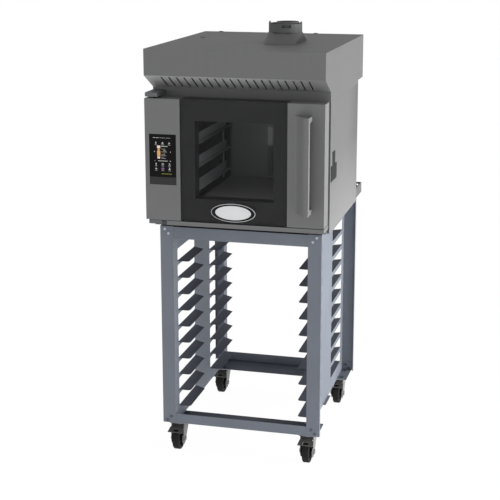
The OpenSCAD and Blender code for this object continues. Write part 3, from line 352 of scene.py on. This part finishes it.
def coated_metal(name, code, rough=0.5, dust=0.12, rubs=0.2, fineness=900.0, specular=0.3,
                 under="#8b8e93", wear=0.35, top_shade=None):
    """Coated sheet or casting: a fine ripple, rubs, worn edges and dust.

    Under is the bare metal's colour, and top_shade the colour of painted shade on faces that look up.
    """
    made = Finish(name, Specular_IOR_Level=specular)
    ripple = made.use(RIPPLE, Fineness=fineness)
    film = made.use(DUST, Amount=dust)
    marks = made.use(RUBS, Fineness=55.0, Amount=rubs)
    worn = made.use(WEAR, Width=0.0012, Amount=wear)
    tone = made.work.mix(ripple["Tone"], tint(code, 0.93), tint(code, 1.07))
    tone = made.work.mix(marks["Mask"], tone, tint(under))
    tone = made.work.mix(worn["Mask"], tone, tint(under, 1.2))
    # Painted shade on faces that look up
    if top_shade:
        tone = made.work.mix(made.work.spread(made.work.facing("Z"), 0.6, 0.8), tone, tint(top_shade))
    made.colour(made.work.mix(film["Mask"], tone, tint("#908d88")))
    made.rough(ripple["Tone"], rough, rough + 0.2)
    made.bump(ripple["Height"], COAT_DEPTH)
    return made.material


def moulded(name, code, rough=0.55, fineness=1400.0, rubs=0.15, depth=0.00006, specular=0.35):
    """Moulded plastic or rubber with a matt grain and rubbed places."""
    made = Finish(name, Specular_IOR_Level=specular)
    ripple = made.use(RIPPLE, Fineness=fineness)
    marks = made.use(RUBS, Fineness=80.0, Amount=rubs)
    tone = made.work.mix(ripple["Tone"], tint(code, 0.9), tint(code, 1.1))
    made.colour(made.work.mix(marks["Mask"], tone, tint(code, 2.0)))
    made.rough(ripple["Tone"], rough, min(1.0, rough + 0.15))
    made.bump(ripple["Height"], depth)
    return made.material


def printed_glass(name, code, rough=0.12, specular=0.15, coat=0.15):
    """Glass printed on its back: flat and dark, with finger smudges in its gloss."""
    made = Finish(name, Specular_IOR_Level=specular, Coat_Weight=coat, Coat_Roughness=0.06)
    marks = made.use(RUBS, Fineness=22.0, Amount=1.0)
    grain = made.use(RIPPLE, Fineness=60.0)
    tone = made.work.mix(grain["Tone"], tint(code, 0.94), tint(code, 1.06))
    made.colour(made.work.mix(marks["Mask"], tone, tint(code, 1.25)))
    made.rough(marks["Mask"], rough, rough + 0.2)
    return made.material


def pane(name, code, alpha, rough=0.04, specular=0.1):
    """Tinted glass that is seen through, dulled a little by smudges."""
    made = Finish(name, Alpha=alpha, Specular_IOR_Level=specular)
    marks = made.use(RUBS, Fineness=14.0, Amount=1.0)
    made.colour(made.work.mix(marks["Mask"], tint(code), tint(code, 1.4)))
    made.rough(marks["Mask"], rough, rough + 0.12)
    return made.material


def glowing(name, code, strength):
    """A lit mark, a little uneven in its light."""
    made = Finish(name, Roughness=0.4, Emission_Strength=strength, Specular_IOR_Level=0.2)
    ripple = made.use(RIPPLE, Fineness=300.0)
    glow = made.work.mix(ripple["Tone"], tint(code, 0.85), tint(code))
    made.colour(glow)
    made.work.feed(glow, made.shader.inputs["Emission Color"])
    return made.material


def light_strip(name):
    """A lamp cover that is lit only along its upper part."""
    made = Finish(name, Roughness=0.4, Emission_Strength=0.1, Specular_IOR_Level=0.2)
    low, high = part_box("cavity_light")
    lit_from = high.z - LIT_SHARE * (high.z - low.z)
    lit = made.work.spread(made.work.place("Z"), lit_from - 3 * MM, lit_from + 3 * MM)
    ripple = made.use(RIPPLE, Fineness=300.0)
    glow = made.work.mix(ripple["Tone"], tint("#b8babb"), tint("#d4d6d6"))
    made.colour(made.work.mix(lit, tint("#6a6b6c"), tint("#9a9b9c")))
    made.work.feed(made.work.mix(lit, tint("#000000"), glow), made.shader.inputs["Emission Color"])
    return made.material


def mineral_wool(name, code):
    """Felted wool with long fibres lying across one another."""
    made = Finish(name, Specular_IOR_Level=0.1, Roughness=0.95)
    fibres = made.work.noise(Scale=240.0, Detail=8.0, Roughness=0.75, Distortion=2.0)
    made.colour(made.work.mix(fibres, tint(code, 0.7), tint(code)))
    made.bump(fibres, 0.001, 0.8)
    return made.material


def chamber_lining(name):
    """The chamber's lining: plain at its back, with painted light brightest on its floor and painted shade
    at its sides.
    """
    made = Finish(name, Metallic=0.3, Specular_IOR_Level=0.2)
    half_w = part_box("chamber")[1].x
    out = made.work.math("ABSOLUTE", made.work.place("X"), 0.0)
    side = made.work.spread(out, half_w - WALL_FADE[0], half_w - WALL_FADE[1])
    grain = made.use(GRAIN, Lines=LENGTHWISE)
    plain = made.work.mix(grain["Tone"], tint("#747576"), tint("#868788"))
    # Painted light: faces that look up are paler
    floor = made.work.spread(made.work.facing("Z"), 0.5, 0.8)
    plain = made.work.mix(floor, plain, tint("#979797"))
    # Painted shade: the side walls are near black
    made.colour(made.work.mix(side, plain, tint("#202020")))
    made.rough(grain["Tone"], 0.35, 0.5)
    made.bump(grain["Height"], BRUSHING_DEPTH)
    return made.material


def bolt_zinc(name):
    """Zinc on bolts and screws: dark, but with painted light that makes it bright along the stand's top."""
    made = Finish(name, Metallic=0.15, Specular_IOR_Level=0.1)
    low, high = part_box("rail_front_top")
    painted_light_at_top = within(made.work, made.work.place("Z"), low.z - 2 * MM, high.z, 2 * MM)
    ripple = made.use(RIPPLE, Fineness=700.0)
    dark_zinc = made.work.mix(ripple["Tone"], tint("#4e5054"), tint("#5c5e62"))
    # Painted light on the bolts along the stand's top
    made.colour(made.work.mix(painted_light_at_top, dark_zinc, tint("#b4b6ba")))
    made.rough(ripple["Tone"], 0.35, 0.5)
    made.bump(ripple["Height"], 0.00005)
    return made.material


def heater_sheath(name):
    """A heater's sheath, tinted straw and blue where it has run hottest."""
    made = Finish(name, Metallic=0.9, Roughness=0.42)
    heat = made.work.noise(Scale=18.0, Detail=4.0)
    straw = made.work.mix(made.work.spread(heat, 0.35, 0.5), tint("#5d5148"), tint("#806a4c"))
    made.colour(made.work.mix(made.work.spread(heat, 0.5, 0.66), straw, tint("#4c5263")))
    made.bump(heat, 0.0002, 0.3)
    return made.material


def circuit_board(name):
    """A board of green resin with copper tracks under it."""
    made = Finish(name, Roughness=0.35)
    tracks = made.work.add("ShaderNodeTexBrick", {
        "Scale": 90.0, "Mortar Size": 0.06, "Color1": tint("#1f5a38"), "Color2": tint("#276b43"),
        "Mortar": tint("#3c8a58")})
    made.work.feed(made.work.texcoord("Object"), tracks.inputs["Vector"])
    made.colour(tracks.outputs["Color"])
    made.bump(tracks.outputs["Fac"], 0.00005, 0.4)
    return made.material


look = {
    "door_steel": brushed_steel("door_steel_brushed", "#757575", UPRIGHT),
    "casing_steel": brushed_steel("casing_steel_brushed", "#686868", UPRIGHT),
    "frame_dark": coated_metal("front_frame_dark_coat", "#4a4c4f", rough=0.5),
    "chamber_steel": chamber_lining("chamber_steel_painted_light_and_shade"),
    "stand_paint": coated_metal("stand_powder_coat", "#70757e", rough=0.55, specular=0.2),
    # The slides' coat is a darker copy of the stand's coat, as painted shade
    "slide_paint": coated_metal("slide_powder_coat_painted_shade", "#4e525e", rough=0.6, specular=0.12),
    "zinc": brushed_steel("zinc_plate", "#8c8e93", CRYSTALS, rough=(0.3, 0.5)),
    "fork_steel": coated_metal("caster_fork_grey", "#7b7b7a", rough=0.4, rubs=0.5, under="#a0a0a0"),
    "pedal_black": coated_metal("caster_pedal_dark", "#484846", rough=0.45, rubs=0.5, under="#909090"),
    "tyre": moulded("caster_tyre_rubber", "#1d1d1d", rough=0.7, rubs=0.35, depth=0.00012, specular=0.2),
    "blanket": mineral_wool("mineral_wool_blanket", "#d8d2ba"),
    "seal": moulded("silicone_seal", "#262626", rough=0.6),
    "heater": heater_sheath("heater_sheath_tinted"),
    "motor": coated_metal("motor_casting", "#4e5154", rough=0.5, fineness=250.0),
    "light": light_strip("light_strip_cover"),
    "board": circuit_board("board_laminate"),
    "black_plastic": moulded("gland_plastic", "#2a2a2a", rough=0.5),
    "border": printed_glass("printed_border_black", "#404040", rough=0.5, specular=0.1, coat=0.0),
    "outer_pane": pane("outer_pane_tinted", "#262626", 0.2, rough=0.12),
    "inner_pane": pane("inner_pane_clear", "#303232", 0.12),
    "panel_glass": printed_glass("control_glass_black", "#101010", rough=0.06, specular=0.06, coat=0.04),
    "flap": moulded("port_flap_plastic", "#292929", rough=0.55),
    "badge": moulded("badge_white_enamel", "#d8d8d8", rough=0.3, depth=0.00001, rubs=0.0),
    "bush": brushed_steel("bush_brass", "#b08d4c", CRYSTALS, rough=(0.3, 0.45), metallic=0.9, dust=0.0),
    "filter": brushed_steel("filter_aluminium", "#909090", UPRIGHT, rough=(0.35, 0.5)),
    "blower": brushed_steel("blower_aluminium", "#9c9ea0", CRYSTALS, rough=(0.35, 0.5)),
    "bracket": coated_metal("bracket_dark_coat", "#565656", rough=0.5),
}
badge_black = moulded("badge_black_enamel", "#0a0a0a", rough=0.3, depth=0.00001, rubs=0.0, specular=0.2)
screw_steel = brushed_steel("screw_zinc", "#7d7f83", CRYSTALS, rough=(0.3, 0.5), metallic=0.8)
hub_plastic = moulded("caster_hub_grey", "#6a6b6c", rough=0.5)
lit_white = glowing("display_white", "#a9aaa6", 0.35)
lit_green = glowing("display_green", "#77752b", 0.5)
lit_purple = glowing("display_purple", "#6b4a72", 0.5)
lit_picture = glowing("display_picture", "#b98f5c", 0.5)
lit_pale = glowing("display_pale", "#cbb6ac", 0.5)

rack_steel = brushed_steel("rack_steel_bright", "#b4b6b8", LENGTHWISE, rough=(0.3, 0.45))
# The rails' coat with painted shade on faces that look up
rail_paint = coated_metal("rail_powder_coat", "#70757e", rough=0.55, specular=0.2, top_shade="#4a4e5a")
own_look = {
    # The handle's steel carries painted shade on its back faces and on its lip's rear edge
    "handle": brushed_steel("handle_steel_brushed", "#757575", UPRIGHT,
                            painted_shading=(painted_handle_shade_mask, "#0c0c0c")),
    # The hood front's steel carries painted light on its underside, palest towards the left
    "hood_front": brushed_steel("hood_front_steel", "#727272", UPRIGHT,
                                painted_shading=(painted_underside_light_mask, "#9e9e9e")),
    "drip_tray": brushed_steel("drip_tray_steel", "#757575", LENGTHWISE),
    # The right side's steel carries painted light towards its foot and painted shade towards its back
    "side_panel_right": painted_side_steel("right_side_steel_brushed", "#686868"),
    "side_bracket": coated_metal("side_bracket_dark_coat", "#2e2e2e", rough=0.6, dust=0.0, rubs=0.05,
                                 specular=0.04, wear=0.0),
    "rail_front_top": rail_paint, "rail_front_bottom": rail_paint, "rails_rear": rail_paint,
    "rack_left": rack_steel, "rack_right": rack_steel,
    "hinge_plates": brushed_steel("hinge_steel_plain", "#6a6b6c", LENGTHWISE),
    "bolts_and_screws": bolt_zinc("bolt_zinc_plate"),
}

slot_of = {entry["node"]: entry["material_slot"] for entry in frame["record"]["subparts"]}
body_of = {name: body for body, names in frame["record"]["behaviour"]["bodies"].items() for name in names}


def dress(piece, material):
    """Makes this the piece's only material."""
    piece.data.materials.clear()
    piece.data.materials.append(material)


def finish_of(node_name):
    """The material of a node: its own where it has one, or that of its slot."""
    return own_look.get(node_name, look[slot_of[node_name]])


for node_name, node_object in nodes.items():
    dress(node_object, finish_of(node_name))


# Mesh helpers

def place_piece(name, work, material, body, sharp=35.0):
    """Turns a bmesh into a smooth-shaded piece that rides on a body."""
    bmesh.ops.recalc_face_normals(work, faces=work.faces)
    for face in work.faces:
        face.smooth = True
    for edge in work.edges:
        edge.smooth = len(edge.link_faces) == 2 and edge.calc_face_angle(0.0) < math.radians(sharp)
    mesh = bpy.data.meshes.new(name)
    work.to_mesh(mesh)
    work.free()
    piece = bpy.data.objects.new(name, mesh)
    bpy.context.scene.collection.objects.link(piece)
    dress(piece, material)
    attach(piece, body)
    return piece


MERGE_DISTANCE = 2e-6
FLAT_ANGLE = math.radians(1.0)


def soften(node_name, radius, segments=2, bend_angle=30.0):
    """A copy of a node with rounded bends, which stands for that node."""
    work = bmesh.new()
    work.from_mesh(nodes[node_name].data)
    bmesh.ops.remove_doubles(work, verts=work.verts, dist=MERGE_DISTANCE)
    bmesh.ops.dissolve_limit(work, angle_limit=FLAT_ANGLE, verts=work.verts, edges=work.edges)
    piece = place_piece(node_name + "_formed", work, finish_of(node_name), body_of[node_name],
                        sharp=60.0)
    bend = piece.modifiers.new("rounded_bends", "BEVEL")
    bend.width = radius
    bend.segments = segments
    bend.limit_method = "ANGLE"
    bend.angle_limit = math.radians(bend_angle)
    bend.use_clamp_overlap = True
    bend.harden_normals = True
    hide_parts(node_name)


# Width of the rounding on each piece, in metres
FORMED = {
    "door_column_left": 0.0009, "door_column_right": 0.0009, "handle": 0.0008, "drip_tray": 0.0005,
    "hinge_plates": 0.0012, "side_bracket": 0.0004, "rear_bracket": 0.0005,
    "stand_side_left": 0.0005, "stand_side_right": 0.0005, "tray_slides": 0.0004,
    "rail_front_top": 0.0005, "rail_front_bottom": 0.0005, "rails_rear": 0.0005,
    "usb_flap": 0.0006, "control_glass": 0.0005, "hood_shell": 0.0003, "hood_front": 0.0006,
    "side_panel_left": 0.0005, "side_panel_right": 0.0005, "top_panel": 0.0005, "base_pan": 0.0005,
    "rack_left": 0.0003, "rack_right": 0.0003, "badge_plate": 0.0005, "caster_plates": 0.0005,
}
for node_name, radius in FORMED.items():
    soften(node_name, radius)
for corner in CORNERS:
    soften("fork_" + corner, 0.0006)
    soften("wheel_" + corner, 0.0012, segments=3, bend_angle=40.0)


# Badge: a raised rim and a dark band on the oval plate

def oval_ring(work, centre, outer, inner, front, back):
    """A flat ring between two ovals, from one depth to another.

    An oval is given as half its width and half its height.
    """
    loops = []
    for width, height in (outer, inner):
        around = Matrix.Translation((centre[0], back, centre[1])) @ Matrix.Rotation(math.pi / 2, 4, "X")
        made = bmesh.ops.create_circle(work, segments=72, radius=1.0,
                                       matrix=around @ Matrix.Diagonal((width, height, 1.0, 1.0)))
        loops += list({edge for vert in made["verts"] for edge in vert.link_edges})
    ring = bmesh.ops.bridge_loops(work, edges=loops)
    raised = bmesh.ops.extrude_face_region(work, geom=ring["faces"])
    moved = [item for item in raised["geom"] if isinstance(item, bmesh.types.BMVert)]
    bmesh.ops.translate(work, verts=moved, vec=(0.0, front - back, 0.0))


badge_low, badge_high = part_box("badge_plate")
badge_middle = ((badge_low.x + badge_high.x) / 2, (badge_low.z + badge_high.z) / 2)
badge_half = ((badge_high.x - badge_low.x) / 2, (badge_high.z - badge_low.z) / 2)
RIM_INSET = 0.6 * MM
RIM_W = 1.6 * MM
RIM_PROUD = 0.7 * MM
BAND_W = (12.5 * MM, 5.2 * MM)
BAND_PROUD = 0.3 * MM
SUNK = 0.2 * MM


def badge_oval(in_x, in_z):
    """The badge's outline, drawn in by so much at its sides and at its top and foot."""
    return badge_half[0] - in_x, badge_half[1] - in_z


def add_badge_ring(name, outer, inner, proud, material):
    """A ring that stands out from the badge plate and is sunk a little into it."""
    ring = bmesh.new()
    oval_ring(ring, badge_middle, outer, inner, badge_low.y - proud, badge_low.y + SUNK)
    place_piece(name, ring, material, "door")


add_badge_ring("badge_rim", badge_oval(RIM_INSET, RIM_INSET), badge_oval(RIM_W, RIM_W),
               RIM_PROUD, look["badge"])
add_badge_ring("badge_band", badge_oval(RIM_W - SUNK, RIM_W - SUNK),
               badge_oval(RIM_W + BAND_W[0], RIM_W + BAND_W[1]), BAND_PROUD, badge_black)


# Display: pictograms, bars and plain numbers on the control glass

glass_low, glass_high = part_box("control_glass")
PRINT_DEPTH = 0.15 * MM

# How far the corners of a triangle and of a square lie from the middle, for a width of 1
CORNERS_OUT = {3: 0.6, 4: math.sqrt(0.5)}


def on_glass(x, z):
    """A point on the control glass, from its top left corner in millimetres."""
    return Vector((glass_low.x + x * MM, glass_low.y, glass_high.z - z * MM))


def flat_shape(work, sides, x, z, width, height, turn=0.0):
    """A flat shape of so many sides, as wide and high as given in millimetres."""
    place = Matrix.Translation(on_glass(x, z)) @ Matrix.Rotation(math.pi / 2, 4, "X")
    grow = Matrix.Diagonal((width * MM, height * MM, 1.0, 1.0))
    turned_by = Matrix.Rotation(math.radians(turn), 4, "Z")
    bmesh.ops.create_circle(work, cap_ends=True, segments=sides, radius=CORNERS_OUT.get(sides, 0.5),
                            matrix=place @ grow @ turned_by)


def bar(work, x, z, width, height):
    """An upright rectangle."""
    flat_shape(work, 4, x, z, width, height, turn=45.0)


def dot(work, x, z, size):
    """A round dot."""
    flat_shape(work, 20, x, z, size, size)


def peak(work, x, z, width, height, turn=0.0):
    """A triangle, which points up where it isn't turned."""
    flat_shape(work, 3, x, z, width, height, turn)


def print_layer(name, work, material):
    """Gives a layer of flat shapes its depth in front of the glass."""
    raised = bmesh.ops.extrude_face_region(work, geom=list(work.faces))
    moved = [item for item in raised["geom"] if isinstance(item, bmesh.types.BMVert)]
    bmesh.ops.translate(work, verts=moved, vec=(0.0, -PRINT_DEPTH, 0.0))
    place_piece(name, work, material, "door")


# The three columns of keys, in millimetres from the glass's left edge
LEFT, MIDDLE, RIGHT = 23.0, 46.0, 69.0


def draw_top_row(work):
    """Two thick bars and three thin ones along the top."""
    for start, length, height in ((13, 8, 1.6), (22.5, 11, 1.6), (36, 6, 0.9), (44, 12, 0.9), (58, 15, 0.9)):
        bar(work, start + length / 2, 12.0, length, height)


def draw_key_lines(work):
    """A line under each key."""
    for x in (LEFT, MIDDLE, RIGHT):
        for z in (35.5, 106.0, 121.0):
            bar(work, x, z, 9.0, 0.8)


def draw_upper_keys(work):
    """Generic marks on the three keys above the menu."""
    peak(work, LEFT, 29.5, 5.0, 7.0)
    dot(work, LEFT, 27.0, 3.6)
    dot(work, MIDDLE, 29.0, 5.5)
    bar(work, MIDDLE, 32.2, 8.0, 0.9)
    peak(work, RIGHT, 29.0, 6.0, 6.0, turn=20.0)
    dot(work, RIGHT - 1.5, 31.0, 4.0)


def draw_lower_keys(work):
    """Generic marks on the keys below the menu, but for the purple one."""
    dot(work, LEFT, 98.0, 4.4)
    bar(work, LEFT, 102.0, 2.4, 5.0)
    for z in (97.0, 99.6, 102.2):
        bar(work, MIDDLE, z, 8.0, 1.3)
    dot(work, RIGHT, 98.0, 4.6)
    bar(work, RIGHT, 102.0, 7.0, 1.2)
    peak(work, LEFT, 115.0, 8.0, 6.5)
    peak(work, RIGHT, 115.5, 8.0, 7.0)
    dot(work, RIGHT, 111.5, 3.4)


def draw_menu(work):
    """The menu's arrows, the slider under it, its thick title bar and its thin bars."""
    for x, turn in ((18.0, 90.0), (73.0, -90.0)):
        peak(work, x, 58.0, 3.4, 4.6, turn=turn)
    bar(work, 46.5, 88.5, 33.0, 1.8)
    dot(work, 72.0, 88.5, 3.2)
    dot(work, 19.0, 88.5, 2.0)
    bar(work, 51.5, 40.0, 23.0, 2.2)
    for z, length in ((49.0, 14), (58.5, 20), (66.5, 12), (71.0, 18), (76.0, 9), (80.0, 16)):
        bar(work, 41.0 + length / 2, z, length, 0.9)


white = bmesh.new()
for draw in (draw_top_row, draw_key_lines, draw_upper_keys, draw_lower_keys, draw_menu):
    draw(white)
print_layer("display_icons", white, lit_white)

picture = bmesh.new()
bar(picture, 32.5, 64.0, 11.0, 17.0)
dot(picture, 32.5, 51.5, 8.0)
print_layer("display_picture_warm", picture, lit_picture)
pale = bmesh.new()
bar(pale, 32.5, 42.3, 11.0, 9.0)
bar(pale, 32.5, 77.5, 9.0, 7.0)
print_layer("display_picture_pale", pale, lit_pale)
purple = bmesh.new()
flat_shape(purple, 8, MIDDLE, 114.5, 11.0, 9.0, turn=22.5)
print_layer("display_purple_key", purple, lit_purple)
green = bmesh.new()
for i in range(6):
    bar(green, 44.0 + 6.0 * i, 131.5, 4.2, 2.6)
print_layer("display_green_row", green, lit_green)


def print_number(name, text, x, z, height, material):
    """A plain number on the glass, as a mesh."""
    curve = bpy.data.curves.new(name, "FONT")
    curve.body = text
    curve.size = height * MM
    curve.extrude = PRINT_DEPTH / 2
    curve.align_x = "CENTER"
    writing = bpy.data.objects.new(name + "_curve", curve)
    bpy.context.scene.collection.objects.link(writing)
    bpy.context.view_layer.update()
    work = bmesh.new()
    solid = bpy.data.meshes.new_from_object(writing)
    work.from_mesh(solid)
    stand = Matrix.Translation(on_glass(x, z) - Vector((0.0, PRINT_DEPTH / 2, 0.0)))
    bmesh.ops.transform(work, matrix=stand @ Matrix.Rotation(math.pi / 2, 4, "X"), verts=work.verts)
    bpy.data.objects.remove(writing)
    place_piece(name, work, material, "door")


print_number("display_number_heat", "180", 52.0, 56.5, 6.5, lit_white)
print_number("display_number_time", "12", 52.0, 66.0, 5.0, lit_white)


# Turned pieces: hub caps on the casters and screws on the back

# Rings as radius and rise, in millimetres
CAP_PROFILE = ((9.5, 0.0), (9.5, 0.5), (10.5, 0.9), (20.0, 0.9), (21.5, 0.5), (22.0, 0.0))
CAP_THICK = 0.9 * MM
HEAD_PROFILE = ((4.0, 0.0), (4.0, 0.5), (3.3, 1.2), (2.0, 1.5))


def turn_profile(work, profile, segments, ring_at, closed=False):
    """Joins the rings of a profile. Where it is closed, the last ring is filled.

    ring_at gives a ring's matrix for its rise.
    """
    last = None
    for ring in profile:
        radius, rise = ring
        made = bmesh.ops.create_circle(work, cap_ends=closed and ring == profile[-1], segments=segments,
                                       radius=radius * MM, matrix=ring_at(rise * MM))
        loop = list({edge for vert in made["verts"] for edge in vert.link_edges})
        if last:
            bmesh.ops.bridge_loops(work, edges=last + loop)
        last = loop


def add_hub_caps(corner):
    """A flat ring with soft edges on both sides of a wheel, round its axle."""
    low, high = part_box("wheel_" + corner)
    middle = (low + high) / 2
    base = (high.x - low.x) / 2 - CAP_THICK
    caps = bmesh.new()
    for side in (-1, 1):
        turn_profile(caps, CAP_PROFILE, 40, lambda rise: (
            Matrix.Translation((middle.x + side * (base + rise), middle.y, middle.z))
            @ Matrix.Rotation(math.pi / 2, 4, "Y")))
    place_piece("hub_caps_" + corner, caps, hub_plastic, "roller_" + corner)


for corner in CORNERS:
    add_hub_caps(corner)


SCREW_INSET = 12 * MM
SCREW_MIDDLE_X = 90 * MM


def add_back_screw(work, place):
    """A pan head that looks back."""
    turn = Matrix.Rotation(-math.pi / 2, 4, "X")
    turn_profile(work, HEAD_PROFILE, 20, lambda rise: (
        Matrix.Translation(place) @ turn @ Matrix.Translation((0.0, 0.0, rise))), closed=True)


back_low, back_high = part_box("back_panel")
back_screws = bmesh.new()
for x in (back_low.x + SCREW_INSET, -SCREW_MIDDLE_X, SCREW_MIDDLE_X, back_high.x - SCREW_INSET):
    for z in (back_low.z + SCREW_INSET, back_high.z - SCREW_INSET):
        add_back_screw(back_screws, (x, back_high.y, z))
place_piece("back_screws", back_screws, screw_steel, "frame")


# Stage, lamps and camera

CAMERA_FOCAL = 2.4786
CAMERA_SHIFT = (-0.0066, -0.08)
CAMERA_PLACE = (1.0351, -4.143, 1.802)
CAMERA_PITCH = -12.906
CAMERA_YAW = 14.32
SENSOR_W = 36.0
FLOOR_SIZE = 14.0
FLOOR_WHITE = 0.94
FLOOR_GLOW = 0.5
# Place, target, size and power
SIDE_LIGHT = ((2.8, 0.1, 0.65), (0.0, 0.1, 0.75), (1.6, 1.2), 90.0)
CHAMBER_LIGHT_INSET = 12 * MM
CHAMBER_LIGHT_SIZE = (0.3, 0.25)
CHAMBER_LIGHT_POWER = 0.22


def seen_mask(work):
    """1 for rays that show the background directly, in gloss or through glass."""
    path = work.add("ShaderNodeLightPath")
    seen = work.math("MAXIMUM", path.outputs["Is Camera Ray"], path.outputs["Is Glossy Ray"])
    return work.math("MAXIMUM", seen, path.outputs["Is Transmission Ray"])


def mix_shaders(work, mask, first, second, out_kind):
    """Sends the first shader to the output where the mask is 0, and the second where it is 1."""
    both = work.add("ShaderNodeMixShader")
    for source, target in ((mask, both.inputs["Fac"]), (first.outputs[0], both.inputs[1]),
                           (second.outputs[0], both.inputs[2])):
        work.feed(source, target)
    work.feed(both.outputs[0], work.add(out_kind).inputs["Surface"])


def make_stage():
    """A pale floor that is seen white and keeps the shadow."""
    floor = bmesh.new()
    bmesh.ops.create_grid(floor, x_segments=2, y_segments=2, size=FLOOR_SIZE)
    mesh = bpy.data.meshes.new("floor")
    floor.to_mesh(mesh)
    floor.free()
    piece = bpy.data.objects.new("floor", mesh)
    bpy.context.scene.collection.objects.link(piece)
    material = bpy.data.materials.new("pale_floor")
    material.use_nodes = True
    work = Tree(material.node_tree)
    white = work.add("ShaderNodeEmission", {"Color": (1.0, 1.0, 1.0, 1.0), "Strength": 1.0})
    matt = work.add("ShaderNodeBsdfDiffuse", {"Color": (0.97, 0.97, 0.97, 1.0)})
    glow = work.add("ShaderNodeEmission", {"Color": (1.0, 1.0, 1.0, 1.0), "Strength": FLOOR_GLOW})
    bright = work.add("ShaderNodeAddShader")
    work.feed(matt.outputs[0], bright.inputs[0])
    work.feed(glow.outputs[0], bright.inputs[1])
    seen_white = work.math("MULTIPLY", seen_mask(work), FLOOR_WHITE)
    mix_shaders(work, seen_white, bright, white, "ShaderNodeOutputMaterial")
    dress(piece, material)


def make_world():
    """Light from all round, weaker from above, seen as white."""
    world = bpy.data.worlds.new("studio")
    world.use_nodes = True
    bpy.context.scene.world = world
    work = Tree(world.node_tree)
    ambient = work.add("ShaderNodeBackground", {"Color": (0.97, 0.98, 1.0, 1.0)})
    upwards = work.part(work.texcoord("Generated"), "Z")
    work.feed(work.spread(upwards, 0.05, 0.6, 1.0, 0.5), ambient.inputs["Strength"])
    white = work.add("ShaderNodeBackground", {"Color": (1.0, 1.0, 1.0, 1.0), "Strength": 1.0})
    mix_shaders(work, seen_mask(work), ambient, white, "ShaderNodeOutputWorld")


def add_lamp(name, place, target, size, power):
    """A rectangular area lamp that looks at its target."""
    data = bpy.data.lights.new(name, "AREA")
    data.shape = "RECTANGLE"
    data.size, data.size_y = size
    data.energy = power
    lamp = bpy.data.objects.new(name, data)
    lamp.location = place
    lamp.rotation_euler = (Vector(target) - Vector(place)).to_track_quat("-Z", "Y").to_euler()
    bpy.context.scene.collection.objects.link(lamp)


def add_camera():
    """The camera that was fitted to the photo."""
    data = bpy.data.cameras.new("camera")
    data.sensor_width = SENSOR_W
    data.lens = SENSOR_W * CAMERA_FOCAL
    data.shift_x, data.shift_y = CAMERA_SHIFT
    data.clip_end = 60.0
    camera = bpy.data.objects.new("camera", data)
    camera.location = CAMERA_PLACE
    camera.rotation_euler = (math.radians(90 + CAMERA_PITCH), 0.0, math.radians(CAMERA_YAW))
    bpy.context.scene.collection.objects.link(camera)
    bpy.context.scene.camera = camera


make_stage()
make_world()
chamber_low, chamber_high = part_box("chamber")
chamber_middle = (chamber_low + chamber_high) / 2
add_lamp("side_light", *SIDE_LIGHT)
chamber_mouth = (chamber_middle.x, chamber_low.y + CHAMBER_LIGHT_INSET, chamber_middle.z)
add_lamp("chamber_light", chamber_mouth, chamber_middle, CHAMBER_LIGHT_SIZE, CHAMBER_LIGHT_POWER)
add_camera()
bpy.context.scene.view_settings.view_transform = "Standard"
